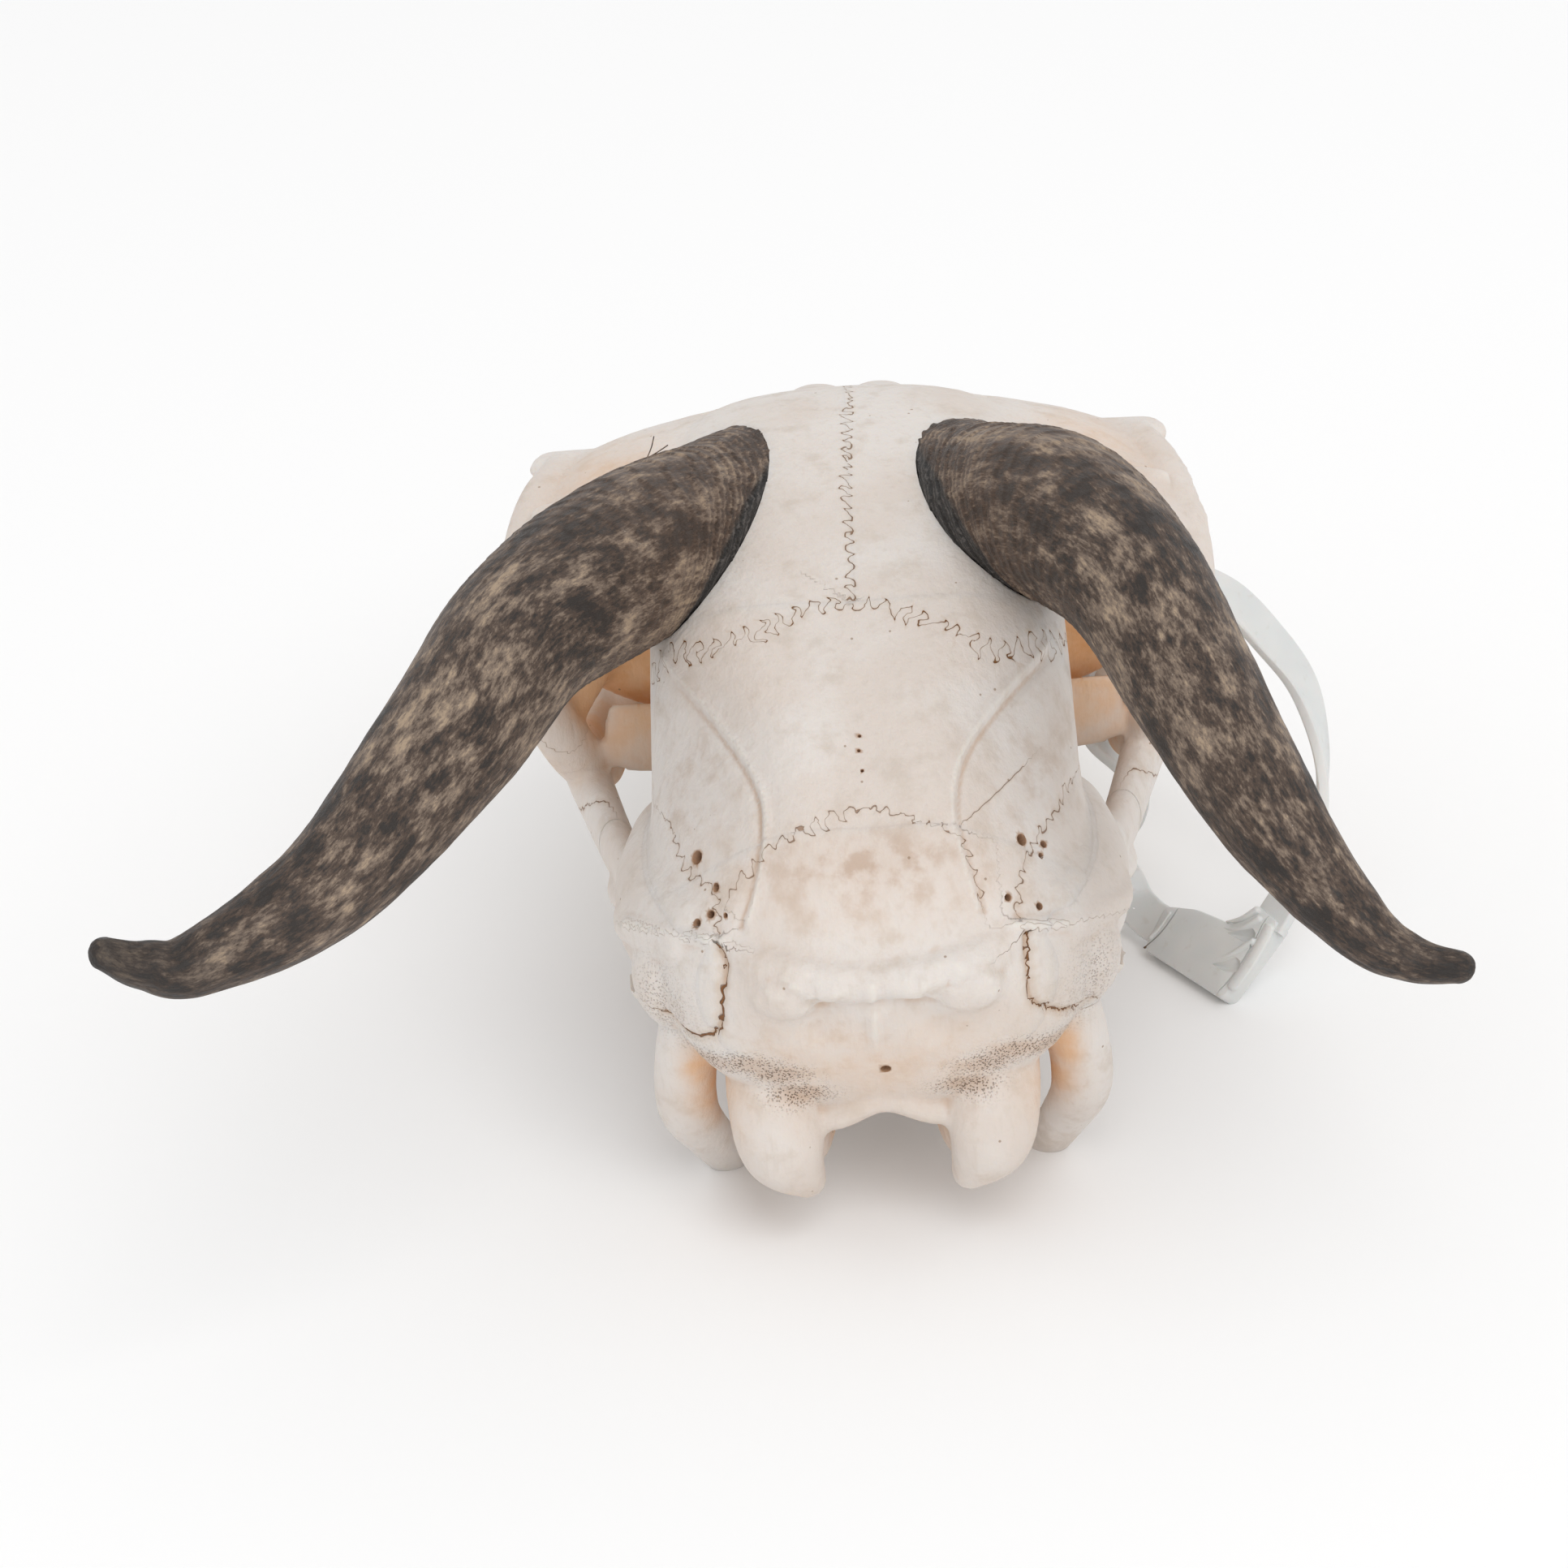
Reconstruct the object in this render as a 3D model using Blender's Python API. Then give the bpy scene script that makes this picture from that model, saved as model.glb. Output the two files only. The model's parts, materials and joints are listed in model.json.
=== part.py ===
"""Goat skull with horn sheaths and a loop tag, at life size.

The cranium lies on its cheek teeth and on the tips of its two jugular processes. It has no lower jaw.
Sizes are in millimetres in the skull's own frame and become metres when a mesh is made.
The skull's frame: +X is the skull's right side, +Y points to the nose, +Z is up, and the chewing
surfaces of the teeth lie in the plane z = 0.
"""

import math
import random

import bmesh
import bpy
import numpy as np
from mathutils import Matrix, Vector

MM = 0.001
GAP = 0.3
SIDES = {"right": 1.0, "left": -1.0}

# Where the skull's frame stands in the part's frame, so that the box is centred on the origin
SKULL_OFFSET_X = 11.3
SKULL_OFFSET_Y = 12.93

# Grain of the surface
FUSE_VOXEL = 1.3
SMOOTHING_PASSES = 4
CRANIUM_TRIANGLES = 5950
TUBE_SIDES = 12
SECTION_STEPS = 4

# Lengths along the skull
NOSE_TIP_Y = 97.5
NASION_Y = 31.0
BREGMA_Y = -61.0
MUZZLE_TIP_Y = 119.0
FLOOR_DEPTH = 20.0

# Core of the cranium: one row for each section across the skull, from the nape to the muzzle.
# y, roof height, half-width and drop of the temporal line, widest point (x, z), lower edge (x, z), base
CORE_SECTIONS = (
    (-101.5, 50.5, 8.0, 1.0, 14.0, 47.0, 9.0, 44.5, 44.0),
    (-97.5, 57.0, 10.0, 1.5, 21.0, 46.5, 17.0, 36.0, 32.0),
    (-93.0, 63.5, 13.0, 1.5, 27.0, 47.0, 22.0, 30.0, 22.5),
    (-86.0, 70.5, 13.5, 1.5, 30.5, 48.0, 24.0, 28.5, 19.0),
    (-74.0, 79.5, 16.5, 2.0, 31.5, 53.0, 24.0, 29.0, 20.5),
    (-61.0, 86.8, 24.5, 3.0, 30.5, 57.0, 21.0, 31.0, 22.0),
    (-47.0, 92.2, 27.0, 4.5, 28.0, 61.0, 17.0, 34.0, 25.0),
    (-33.0, 95.0, 27.0, 5.5, 25.0, 62.0, 13.0, 36.0, 28.0),
    (-18.0, 96.0, 26.0, 6.0, 22.0, 60.0, 12.0, 37.0, 30.0),
    (-4.0, 94.3, 25.0, 6.5, 21.0, 58.0, 14.0, 35.0, 28.0),
    (11.0, 87.6, 22.5, 6.0, 21.5, 56.0, 20.0, 33.0, 24.0),
    (25.0, 79.8, 17.0, 5.0, 25.5, 51.0, 26.0, 29.0, 21.0),
    (41.0, 72.0, 13.0, 4.0, 25.5, 46.0, 25.0, 25.0, 19.0),
    (58.0, 64.5, 10.5, 3.5, 21.5, 42.0, 20.5, 21.0, 17.0),
    (74.0, 58.2, 9.0, 3.0, 16.0, 38.0, 14.0, 17.0, 14.0),
    (87.0, 53.0, 7.5, 2.5, 12.5, 34.0, 11.5, 14.0, 12.0),
)

# Orbit
ORBIT_CENTRE = (44.3, -10.0, 60.5)
ORBIT_NORMAL = (1.0, 0.325, -0.17)
ORBIT_RADIUS = 22.0
# How far the rim stands out at the brow's outer corner, and how far it is drawn in above, behind and below
BROW_CORNER = 2.2
TOP_TUCK = 1.6
REAR_TUCK = 2.6
CHEEK_TUCK = 2.4

# Cheek teeth, from the front: length along the row, breadth, number of lobes
TOOTH_ROWS = (
    (7.0, 7.0, 1),
    (8.5, 8.5, 1),
    (9.0, 10.0, 1),
    (13.0, 11.5, 2),
    (16.0, 12.0, 2),
    (19.0, 11.5, 3),
)
TOOTH_ROW_FRONT = (17.2, 65.0)
TOOTH_ROW_MIDDLE = (23.5, 30.0)
TOOTH_ROW_BACK = (25.5, -6.5)
CROWN_HEIGHT = 12.0
ROOT_SUNK = 4.0
CROWN_SIDES = 8

# Horn sheaths: x, y, z of the core line, half-width seen from behind, half-depth
HORN_KEYS = {
    "left": (
        (-20.6, -30.3, 85.9, 12.0, 12.8),
        (-32.6, -54.0, 91.8, 12.3, 13.1),
        (-45.2, -78.0, 94.1, 11.1, 11.7),
        (-56.0, -102.0, 89.5, 9.6, 10.0),
        (-70.3, -125.0, 82.9, 7.2, 7.5),
        (-85.8, -138.5, 80.4, 4.5, 4.7),
        (-92.4, -142.5, 82.7, 3.3, 3.4),
        (-96.6, -144.8, 86.1, 2.4, 2.4),
    ),
    "right": (
        (19.7, -31.5, 86.7, 12.0, 12.8),
        (29.2, -54.0, 94.9, 12.0, 12.9),
        (37.7, -78.0, 97.1, 10.3, 11.1),
        (44.8, -102.0, 91.4, 8.9, 9.5),
        (52.8, -125.0, 83.9, 7.1, 7.4),
        (62.1, -138.5, 75.8, 4.5, 4.7),
        (68.0, -142.5, 73.0, 3.2, 3.3),
        (73.9, -144.8, 72.7, 2.3, 2.3),
    ),
}
HORN_VIEW = (0.0, 0.87, -0.49)
HORN_SIDES = 18
HORN_RINGS = 24
HORN_ROOT = 40.0
HORN_BASE_NORMAL = (0.27, -0.2, 0.943)
BOSS_INSET = 1.2
BOSS_DEPTH = 12.0
BOSS_RISE = 2.0

# Tag: a moulded loop through the right orbit and under the cheek arch.
# Place of the band's centre line, and the way that the band's broad face looks there
STRAP_KEYS = (
    (61.9, -27.7, 12.0, 0.59, 0.39, -0.71),
    (63.9, -25.6, 14.2, 0.64, 0.36, -0.68),
    (66.7, -21.0, 17.3, 0.77, 0.28, -0.57),
    (69.2, -15.8, 20.2, 0.92, 0.12, -0.28),
    (70.8, -10.0, 24.0, 1.00, -0.05, 0.00),
    (70.9, -4.5, 29.4, 0.90, -0.24, 0.26),
    (69.0, 1.5, 36.2, 0.68, -0.46, 0.52),
    (64.4, 5.4, 42.4, 0.46, -0.54, 0.66),
    (57.8, 6.4, 50.0, 0.34, -0.54, 0.76),
    (49.5, 3.0, 55.5, 0.30, -0.45, 0.84),
    (43.0, -1.0, 54.5, 0.50, -0.40, 0.76),
    (37.2, -6.0, 50.0, 0.80, -0.25, 0.55),
    (34.5, -8.3, 43.0, 1.00, -0.10, 0.10),
    (34.7, -8.9, 36.0, 1.00, -0.10, 0.20),
    (38.6, -9.2, 31.2, 0.60, -0.10, 0.80),
    (42.4, -8.6, 26.5, 0.80, -0.10, 0.60),
    (42.4, -7.0, 20.0, 0.90, -0.10, -0.20),
    (39.0, -6.4, 12.5, 0.70, -0.40, -0.50),
    (40.4, -9.8, 6.2, -0.10, -0.50, 0.80),
    (42.9, -13.6, 4.3, -0.55, -0.40, 0.72),
    (44.4, -15.9, 4.2, -0.59, -0.39, 0.71),
)
STRAP_WIDTH = 6.5
STRAP_THICKNESS = 1.8

# The lock: lower corner of its broad face, the way its length runs on the floor, and the face's slope
LOCK_CORNER = (41.4, -19.3, 2.0)
LOCK_HEADING = (0.554, -0.833, 0.0)
LOCK_LEAN = 45.0
LOCK_THICKNESS = 4.0
LOCK_BEVEL = 0.6
# The face's corners, along the lock and up its slope
LOCK_OUTLINE = ((0.0, 0.0), (19.7, 0.0), (21.0, 14.8), (15.4, 15.3), (13.0, 10.8), (4.8, 9.8), (-1.0, 7.7))

# Half-width of a region that reaches right across the skull
FAR = 70.0

# Regions of the bones, as outlines seen from the side: y and z
FRONTAL_OUTLINE = ((BREGMA_Y, 110.0), (BREGMA_Y + 0.5, 80.0), (-57.0, 62.0), (-40.0, 62.0), (-24.0, 62.5),
                   (-2.0, 67.0), (12.0, 70.0), (22.0, 74.0), (NASION_Y + 4.0, 72.0), (NASION_Y + 2.0, 110.0))
PARIETAL_OUTLINE = ((BREGMA_Y - GAP, 110.0), (BREGMA_Y - GAP + 0.5, 80.0), (-57.5, 61.0), (-60.0, 57.0),
                    (-84.0, 54.0), (-90.5, 68.0), (-93.0, 76.0), (-100.0, 110.0))
TEMPORAL_OUTLINE = ((-44.0, 52.0), (-45.5, 34.0), (-50.0, 2.0), (-62.5, 2.0), (-68.3, 6.5), (-73.2, 15.0),
                    (-75.5, 28.0), (-84.0, 33.5), (-96.0, 35.0), (-94.0, 52.5), (-84.0, 53.5), (-58.0, 56.5))
ZYGOMATIC_OUTLINE = ((-43.7, 54.0), (-37.5, 61.0), (-20.0, 61.5), (13.0, 47.0), (24.0, 40.0), (23.0, 22.0),
                     (0.0, 26.0), (-45.0, 30.0))
# How far from the midline each point of the zygomatic's outline starts
ZYGOMATIC_INNER = (33.0, 33.0, 37.9, 35.5, 31.0, 31.0, 37.0, 33.0)
LACRIMAL_OUTLINE = ((-2.0, 66.5), (12.0, 69.5), (22.0, 73.5), (31.0, 66.0), (27.0, 44.0), (24.3, 40.3),
                    (13.3, 47.3))
OCCIPITAL_OUTLINE = ((-61.5, -5.0), (-61.5, 29.0), (-70.0, 33.0), (-84.0, 53.6), (-90.5, 67.6),
                     (-100.0, 110.0), (-130.0, 110.0), (-130.0, -5.0))
MAXILLA_OUTLINE = ((-16.0, -5.0), (-4.0, 37.0), (2.0, 58.0), (12.0, 69.5), (40.0, 110.0), (130.0, 110.0),
                   (130.0, -5.0))
PREMAXILLA_OUTLINE = ((68.0, 56.0), (78.0, 38.0), (88.0, 22.0), (91.0, 5.0), (130.0, 5.0), (130.0, 42.0),
                      (96.0, 42.0), (77.0, 52.5))

BONE_COLOUR = (0.80, 0.74, 0.66, 1.0)
TOOTH_BONE_COLOUR = (0.78, 0.71, 0.60, 1.0)
HORN_COLOUR = (0.055, 0.040, 0.032, 1.0)
TAG_COLOUR = (0.70, 0.73, 0.74, 1.0)


def clear_scene():
    """Removes every object."""
    for item in list(bpy.data.objects):
        bpy.data.objects.remove(item, do_unlink=True)


def unit(vector):
    """The vector at length one."""
    vector = np.asarray(vector, float)
    return vector / np.linalg.norm(vector)


def spline(keys, steps, closed=False):
    """Rows on a Catmull-Rom curve through the key rows, with so many steps between two keys."""
    keys = np.asarray(keys, float)
    count = len(keys)
    rows = []
    for index in range(count if closed else count - 1):
        if closed:
            before, start, end, after = (keys[(index + shift) % count] for shift in (-1, 0, 1, 2))
        else:
            before = keys[max(index - 1, 0)]
            start = keys[index]
            end = keys[index + 1]
            after = keys[min(index + 2, count - 1)]
        for step in range(steps):
            t = step / steps
            rows.append(
                0.5 * (2 * start + (end - before) * t
                       + (2 * before - 5 * start + 4 * end - after) * t**2
                       + (3 * start - before - 3 * end + after) * t**3)
            )
    if not closed:
        rows.append(keys[-1])
    return np.array(rows)


def new_object(name, mesh_data):
    """An object in the scene for a bmesh, with its faces turned outwards."""
    bmesh.ops.recalc_face_normals(mesh_data, faces=mesh_data.faces)
    mesh = bpy.data.meshes.new(name)
    mesh_data.to_mesh(mesh)
    mesh_data.free()
    made = bpy.data.objects.new(name, mesh)
    bpy.context.scene.collection.objects.link(made)
    return made


def loft(name, rings):
    """A closed body over rings of points that have the same number of points."""
    mesh_data = bmesh.new()
    loops = [[mesh_data.verts.new(Vector(point) * MM) for point in ring] for ring in rings]
    count = len(loops[0])
    for first, second in zip(loops, loops[1:]):
        for index in range(count):
            after = (index + 1) % count
            mesh_data.faces.new((first[index], first[after], second[after], second[index]))
    mesh_data.faces.new(loops[0])
    mesh_data.faces.new(loops[-1])
    bmesh.ops.triangulate(mesh_data, faces=[face for face in mesh_data.faces if len(face.verts) > 3])
    return new_object(name, mesh_data)


def ellipsoid(name, centre, radii, detail=3):
    """A closed ellipsoid with its radii along the axes."""
    mesh_data = bmesh.new()
    place = Matrix.Translation(Vector(centre) * MM) @ Matrix.Diagonal((*[r * MM for r in radii], 1.0))
    bmesh.ops.create_icosphere(mesh_data, subdivisions=detail, radius=1.0, matrix=place)
    return new_object(name, mesh_data)


def tube_rings(keys, guide, steps=4, sides=TUBE_SIDES):
    """Oval rings with rounded ends: each key is x, y, z, half-size across the guide, half-size along it."""
    rows = spline(keys, steps)
    guide = unit(guide)
    rings = []
    for index, row in enumerate(rows):
        ahead = rows[min(index + 1, len(rows) - 1), :3] - rows[max(index - 1, 0), :3]
        ahead = unit(ahead)
        across = unit(np.cross(guide, ahead))
        along = np.cross(ahead, across)
        ends = [(0.0, 1.0)]
        if index == 0:
            ends = [(-0.75, 0.5), (-0.45, 0.8), (0.0, 1.0)]
        if index == len(rows) - 1:
            ends = [(0.0, 1.0), (0.45, 0.8), (0.75, 0.5)]
        for shift, scale in ends:
            centre = row[:3] + ahead * shift * min(row[3], row[4])
            rings.append([
                centre
                + across * row[3] * scale * math.cos(2 * math.pi * side / sides)
                + along * row[4] * scale * math.sin(2 * math.pi * side / sides)
                for side in range(sides)
            ])
    return rings


def tube(name, keys, guide, steps=4, sides=TUBE_SIDES):
    """A closed oval tube with rounded ends."""
    return loft(name, tube_rings(keys, guide, steps, sides))


def prism(name, outline, axis, low, high):
    """A closed prism: an outline in the plane across the axis, from low to high along the axis."""
    def place(pair, along):
        if axis == "X":
            return (along, pair[0], pair[1])
        if axis == "Y":
            return (pair[0], along, pair[1])
        return (pair[0], pair[1], along)
    return loft(name, [[place(pair, along) for pair in outline] for along in (low, high)])


def grown_outline(outline, distance):
    """The outline with each edge moved outwards by the distance."""
    points = np.asarray(outline, float)
    following = np.roll(points, -1, axis=0)
    area = np.sum(points[:, 0] * following[:, 1] - following[:, 0] * points[:, 1])
    turn = 1.0 if area > 0 else -1.0
    edges = following - points
    normals = turn * np.stack([edges[:, 1], -edges[:, 0]], axis=1)
    normals /= np.linalg.norm(normals, axis=1)[:, None]
    before = np.roll(normals, 1, axis=0)
    middle = normals + before
    reach = 2.0 / np.maximum(np.sum(middle * middle, axis=1), 0.5)
    return points + middle * (distance * reach)[:, None]


def replace_mesh(item):
    """Applies the object's modifiers to its mesh."""
    graph = bpy.context.evaluated_depsgraph_get()
    old = item.data
    item.data = bpy.data.meshes.new_from_object(item.evaluated_get(graph))
    item.modifiers.clear()
    bpy.data.meshes.remove(old)


def collected(name, members):
    """A collection that holds the members and nothing else does."""
    group = bpy.data.collections.new(name)
    bpy.context.scene.collection.children.link(group)
    for member in members:
        bpy.context.scene.collection.objects.unlink(member)
        group.objects.link(member)
    return group


def combine(item, members, operation, solver="EXACT"):
    """Joins the members to the item, or cuts them from it, by one Boolean on their collection."""
    group = collected("operands", members)
    change = item.modifiers.new("combine", "BOOLEAN")
    change.operation = operation
    change.operand_type = "COLLECTION"
    change.collection = group
    change.solver = solver
    replace_mesh(item)
    for member in members:
        bpy.data.objects.remove(member, do_unlink=True)
    bpy.data.collections.remove(group)


def keep_largest(item):
    """Leaves the item's largest closed surface and drops scraps and sealed hollows."""
    mesh_data = bmesh.new()
    mesh_data.from_mesh(item.data)
    unseen = set(mesh_data.verts)
    shells = []
    while unseen:
        edge_of_search = [unseen.pop()]
        shell = list(edge_of_search)
        while edge_of_search:
            vertex = edge_of_search.pop()
            for edge in vertex.link_edges:
                other = edge.other_vert(vertex)
                if other in unseen:
                    unseen.remove(other)
                    shell.append(other)
                    edge_of_search.append(other)
        shells.append(shell)
    shells.sort(key=lambda shell: -sum(face.calc_area() for face in {f for v in shell for f in v.link_faces}))
    for shell in shells[1:]:
        bmesh.ops.delete(mesh_data, geom=shell, context="VERTS")
    mesh_data.to_mesh(item.data)
    mesh_data.free()


def core_section(row):
    """The closed ring of one section of the core."""
    y, roof, line_x, line_drop, side_x, side_z, low_x, low_z, base = row
    half = [
        (0.0, roof),
        (line_x, roof - line_drop),
        (side_x, side_z),
        (low_x, low_z),
        (0.0, base),
    ]
    outline = half + [(-x, z) for x, z in reversed(half[1:-1])]
    return [(x, y, z) for x, z in spline(outline, SECTION_STEPS, closed=True)]


def core():
    """Braincase and face as one body."""
    rows = spline(CORE_SECTIONS, 4)
    return loft("core", [core_section(row) for row in rows])


def roof_height(y):
    """Height of the core's roof at a place along the skull."""
    rows = spline(CORE_SECTIONS, 8)
    return float(np.interp(y, rows[:, 0], rows[:, 1]))


def orbit_frame(side):
    """Centre, forward direction and upward direction of the orbit's rim."""
    centre = np.array(ORBIT_CENTRE) * (side, 1.0, 1.0)
    normal = unit(np.array(ORBIT_NORMAL) * (side, 1.0, 1.0))
    upward = unit(np.array((0.0, 0.0, 1.0)) - normal * normal[2])
    forward = unit(np.cross(upward, normal))
    if forward[1] < 0:
        forward = -forward
    return centre, normal, forward, upward


def orbit_rim(side):
    """The bony ring round the eye, thicker below and behind."""
    centre, normal, forward, upward = orbit_frame(side)
    rings = []
    turns = 40
    for turn in range(turns + 1):
        angle = 2 * math.pi * turn / turns
        radial = forward * math.cos(angle) + upward * math.sin(angle)
        behind = max(0.0, -math.cos(angle))
        above = max(0.0, math.sin(angle))
        below = max(0.0, -math.sin(angle))
        diagonal = max(0.0, math.sin(2 * angle))
        corner = diagonal**2 if angle < math.pi else 0.0
        cheek = diagonal if angle > math.pi else 0.0
        wall = 2.8 + 0.7 * behind + 0.6 * below
        depth = 3.2 + 0.8 * behind + 0.8 * below
        middle = centre + radial * (ORBIT_RADIUS + 0.5 * below + BROW_CORNER * corner)
        middle = middle - normal * (REAR_TUCK * behind + CHEEK_TUCK * cheek + TOP_TUCK * above**4)
        rings.append([
            middle
            + radial * wall * math.cos(2 * math.pi * side_index / TUBE_SIDES)
            + normal * depth * math.sin(2 * math.pi * side_index / TUBE_SIDES)
            for side_index in range(TUBE_SIDES)
        ])
    half = turns // 2 + 2
    upper = loft("rim_upper", rings[:half])
    lower = loft("rim_lower", rings[half - 3:])
    return [upper, lower]


def mirrored(keys, side):
    """Keys of a form on the right side, moved to the given side."""
    return [(key[0] * side, *key[1:]) for key in keys]


def braincase_forms(side):
    """Temporal bone, mastoid, ear, condyle and jugular process of one side."""
    upright = (0.0, 0.0, 1.0)
    sideways = (1.0, 0.0, 0.0)
    return [
        ellipsoid("temporal_shelf", (29.8 * side, -66.0, 41.5), (7.2, 17.0, 6.5)),
        ellipsoid("joint_shelf", (31.0 * side, -54.0, 38.5), (8.2, 8.0, 4.0)),
        ellipsoid("mastoid", (28.8 * side, -82.5, 41.0), (6.0, 6.5, 8.5)),
        ellipsoid("bulla", (17.6 * side, -60.0, 15.5), (5.0, 10.0, 9.5)),
        tube("squamous_slope", mirrored([(30.0, -58.0, 51.5, 3.4, 6.5), (31.5, -68.0, 51.0, 3.6, 7.5),
                                         (30.5, -79.0, 50.5, 3.4, 7.0), (25.5, -89.0, 51.5, 3.0, 5.5)], side),
             (0.62, 0.0, -0.78) if side > 0 else (-0.62, 0.0, -0.78)),
        tube("ear_tube", mirrored([(20.0, -66.0, 27.0, 5.0, 5.0), (27.5, -69.0, 31.0, 4.7, 4.7),
                                   (33.0, -70.7, 33.4, 4.2, 4.2)], side), upright),
        tube("nuchal_crest", mirrored([(35.0, -74.0, 46.5, 2.0, 2.2), (34.5, -80.0, 47.0, 2.0, 2.3),
                                       (29.0, -87.0, 49.5, 2.0, 2.4), (21.5, -92.5, 51.0, 2.2, 2.6),
                                       (14.0, -98.0, 49.5, 3.0, 3.4), (7.0, -100.5, 48.5, 3.0, 3.4),
                                       (0.0, -101.0, 49.0, 2.4, 2.6)], side), upright),
        ellipsoid("nuchal_knob", (11.5 * side, -99.5, 46.5), (6.0, 3.2, 4.0)),
        tube("condyle", mirrored([(17.0, -83.0, 29.0, 5.4, 5.0), (15.8, -90.0, 24.0, 6.6, 6.0),
                                  (14.6, -93.5, 17.0, 6.2, 5.2), (11.6, -92.0, 10.8, 2.9, 3.2)], side),
             (0.0, 1.0, -0.4)),
        ellipsoid("condyle_front", (12.0 * side, -84.0, 15.5), (5.0, 9.0, 5.4)),
        tube("jugular_process", mirrored([(25.5, -83.0, 36.0, 5.2, 5.0), (28.0, -83.0, 27.0, 4.6, 3.8),
                                          (28.5, -80.0, 16.5, 4.5, 3.4), (25.8, -74.0, 7.0, 3.8, 3.0),
                                          (22.8, -68.0, -2.0, 2.8, 2.4)], side), (0.0, 1.0, 0.35)),
        tube("basal_bridge", mirrored([(12.0, -74.0, 20.0, 6.0, 5.0), (16.0, -68.0, 22.0, 6.0, 6.0),
                                       (17.0, -60.0, 24.0, 6.0, 6.0)], side), upright),
        tube("pterygoid", mirrored([(13.5, 4.0, 22.0, 3.2, 9.0), (12.0, -8.0, 24.0, 2.8, 9.0),
                                    (10.5, -22.0, 24.0, 2.6, 8.5), (8.5, -36.0, 26.5, 2.8, 5.5)], side),
             upright),
        tube("hamulus", mirrored([(11.0, -21.0, 18.0, 2.2, 2.8), (11.6, -26.0, 15.5, 2.0, 2.2),
                                  (12.2, -31.0, 14.5, 1.7, 1.7)], side), sideways),
    ]


def cheek_forms(side):
    """Brow shelf, cheek arch and the walls in front of the orbit, of one side."""
    upright = (0.0, 0.0, 1.0)
    return [
        tube("brow_shelf", mirrored([(16.0, -14.0, 86.5, 20.5, 6.0), (33.0, -13.5, 83.8, 18.2, 5.0),
                                     (43.0, -12.5, 80.2, 18.5, 4.2), (47.5, -12.0, 78.6, 16.0, 3.2)], side),
             upright),
        tube("brow_corner", mirrored([(30.0, -5.0, 83.8, 6.0, 2.6), (40.0, 0.5, 81.8, 5.0, 2.2),
                                      (46.9, 5.2, 80.2, 3.4, 1.8)], side), upright),
        tube("postorbital_wall", mirrored([(37.0, -21.0, 83.0, 11.0, 3.2), (39.0, -24.0, 73.0, 9.0, 2.8),
                                           (42.5, -27.0, 64.0, 6.5, 2.8),
                                           (45.5, -28.5, 55.0, 4.0, 2.8)], side), (0.0, 1.0, 0.0)),
        tube("orbit_rear_wall", mirrored([(14.0, -24.0, 66.0, 2.6, 16.0), (25.0, -25.5, 66.0, 2.2, 15.0),
                                          (33.0, -25.5, 67.0, 2.0, 12.5),
                                          (40.0, -25.0, 69.0, 2.2, 10.0)], side), upright),
        tube("orbit_flap", mirrored([(17.0, -30.0, 50.5, 2.2, 5.5), (27.0, -30.5, 50.5, 1.7, 5.8),
                                     (34.0, -30.5, 51.0, 1.3, 6.0),
                                     (38.2, -30.0, 51.5, 1.1, 5.4)], side), upright),
        tube("orbit_front_wall", mirrored([(16.0, 36.0, 58.0, 5.5, 16.0), (26.0, 24.0, 59.0, 5.0, 18.0),
                                           (35.5, 13.0, 60.5, 4.0, 19.0)], side), upright),
        tube("cheek_root", mirrored([(24.0, 34.0, 30.0, 5.5, 9.0), (32.0, 22.0, 34.0, 4.5, 8.5),
                                     (38.5, 8.0, 38.5, 3.8, 6.5), (42.0, -6.0, 39.5, 3.6, 5.2),
                                     (43.2, -20.0, 42.0, 3.4, 5.4), (40.4, -33.0, 41.0, 3.0, 5.0),
                                     (37.2, -46.0, 40.5, 2.8, 4.6), (34.6, -58.0, 42.5, 2.9, 4.4),
                                     (33.8, -69.0, 45.0, 2.9, 3.6), (33.4, -79.0, 46.5, 2.6, 2.8)], side),
             upright),
        tube("facial_crest", mirrored([(27.0, 44.0, 31.0, 3.0, 5.0), (30.0, 33.0, 31.5, 4.0, 6.5),
                                       (32.0, 22.0, 33.0, 4.0, 6.5)], side), upright),
        tube("alveolar_ridge", mirrored([(24.5, -7.0, 18.0, 6.5, 8.0), (26.0, 6.0, 17.0, 7.4, 8.6),
                                         (25.3, 22.0, 17.0, 7.2, 8.6), (22.5, 42.0, 16.0, 6.2, 8.0),
                                         (18.0, 61.0, 14.0, 4.8, 6.6), (14.5, 73.0, 13.0, 3.4, 4.4)], side),
             upright),
        tube("maxillary_tuber", mirrored([(22.0, 14.0, 34.0, 7.0, 9.0), (22.5, 0.0, 30.0, 6.5, 8.5),
                                          (21.5, -9.0, 27.0, 5.0, 7.0)], side), upright),
    ]


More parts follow.
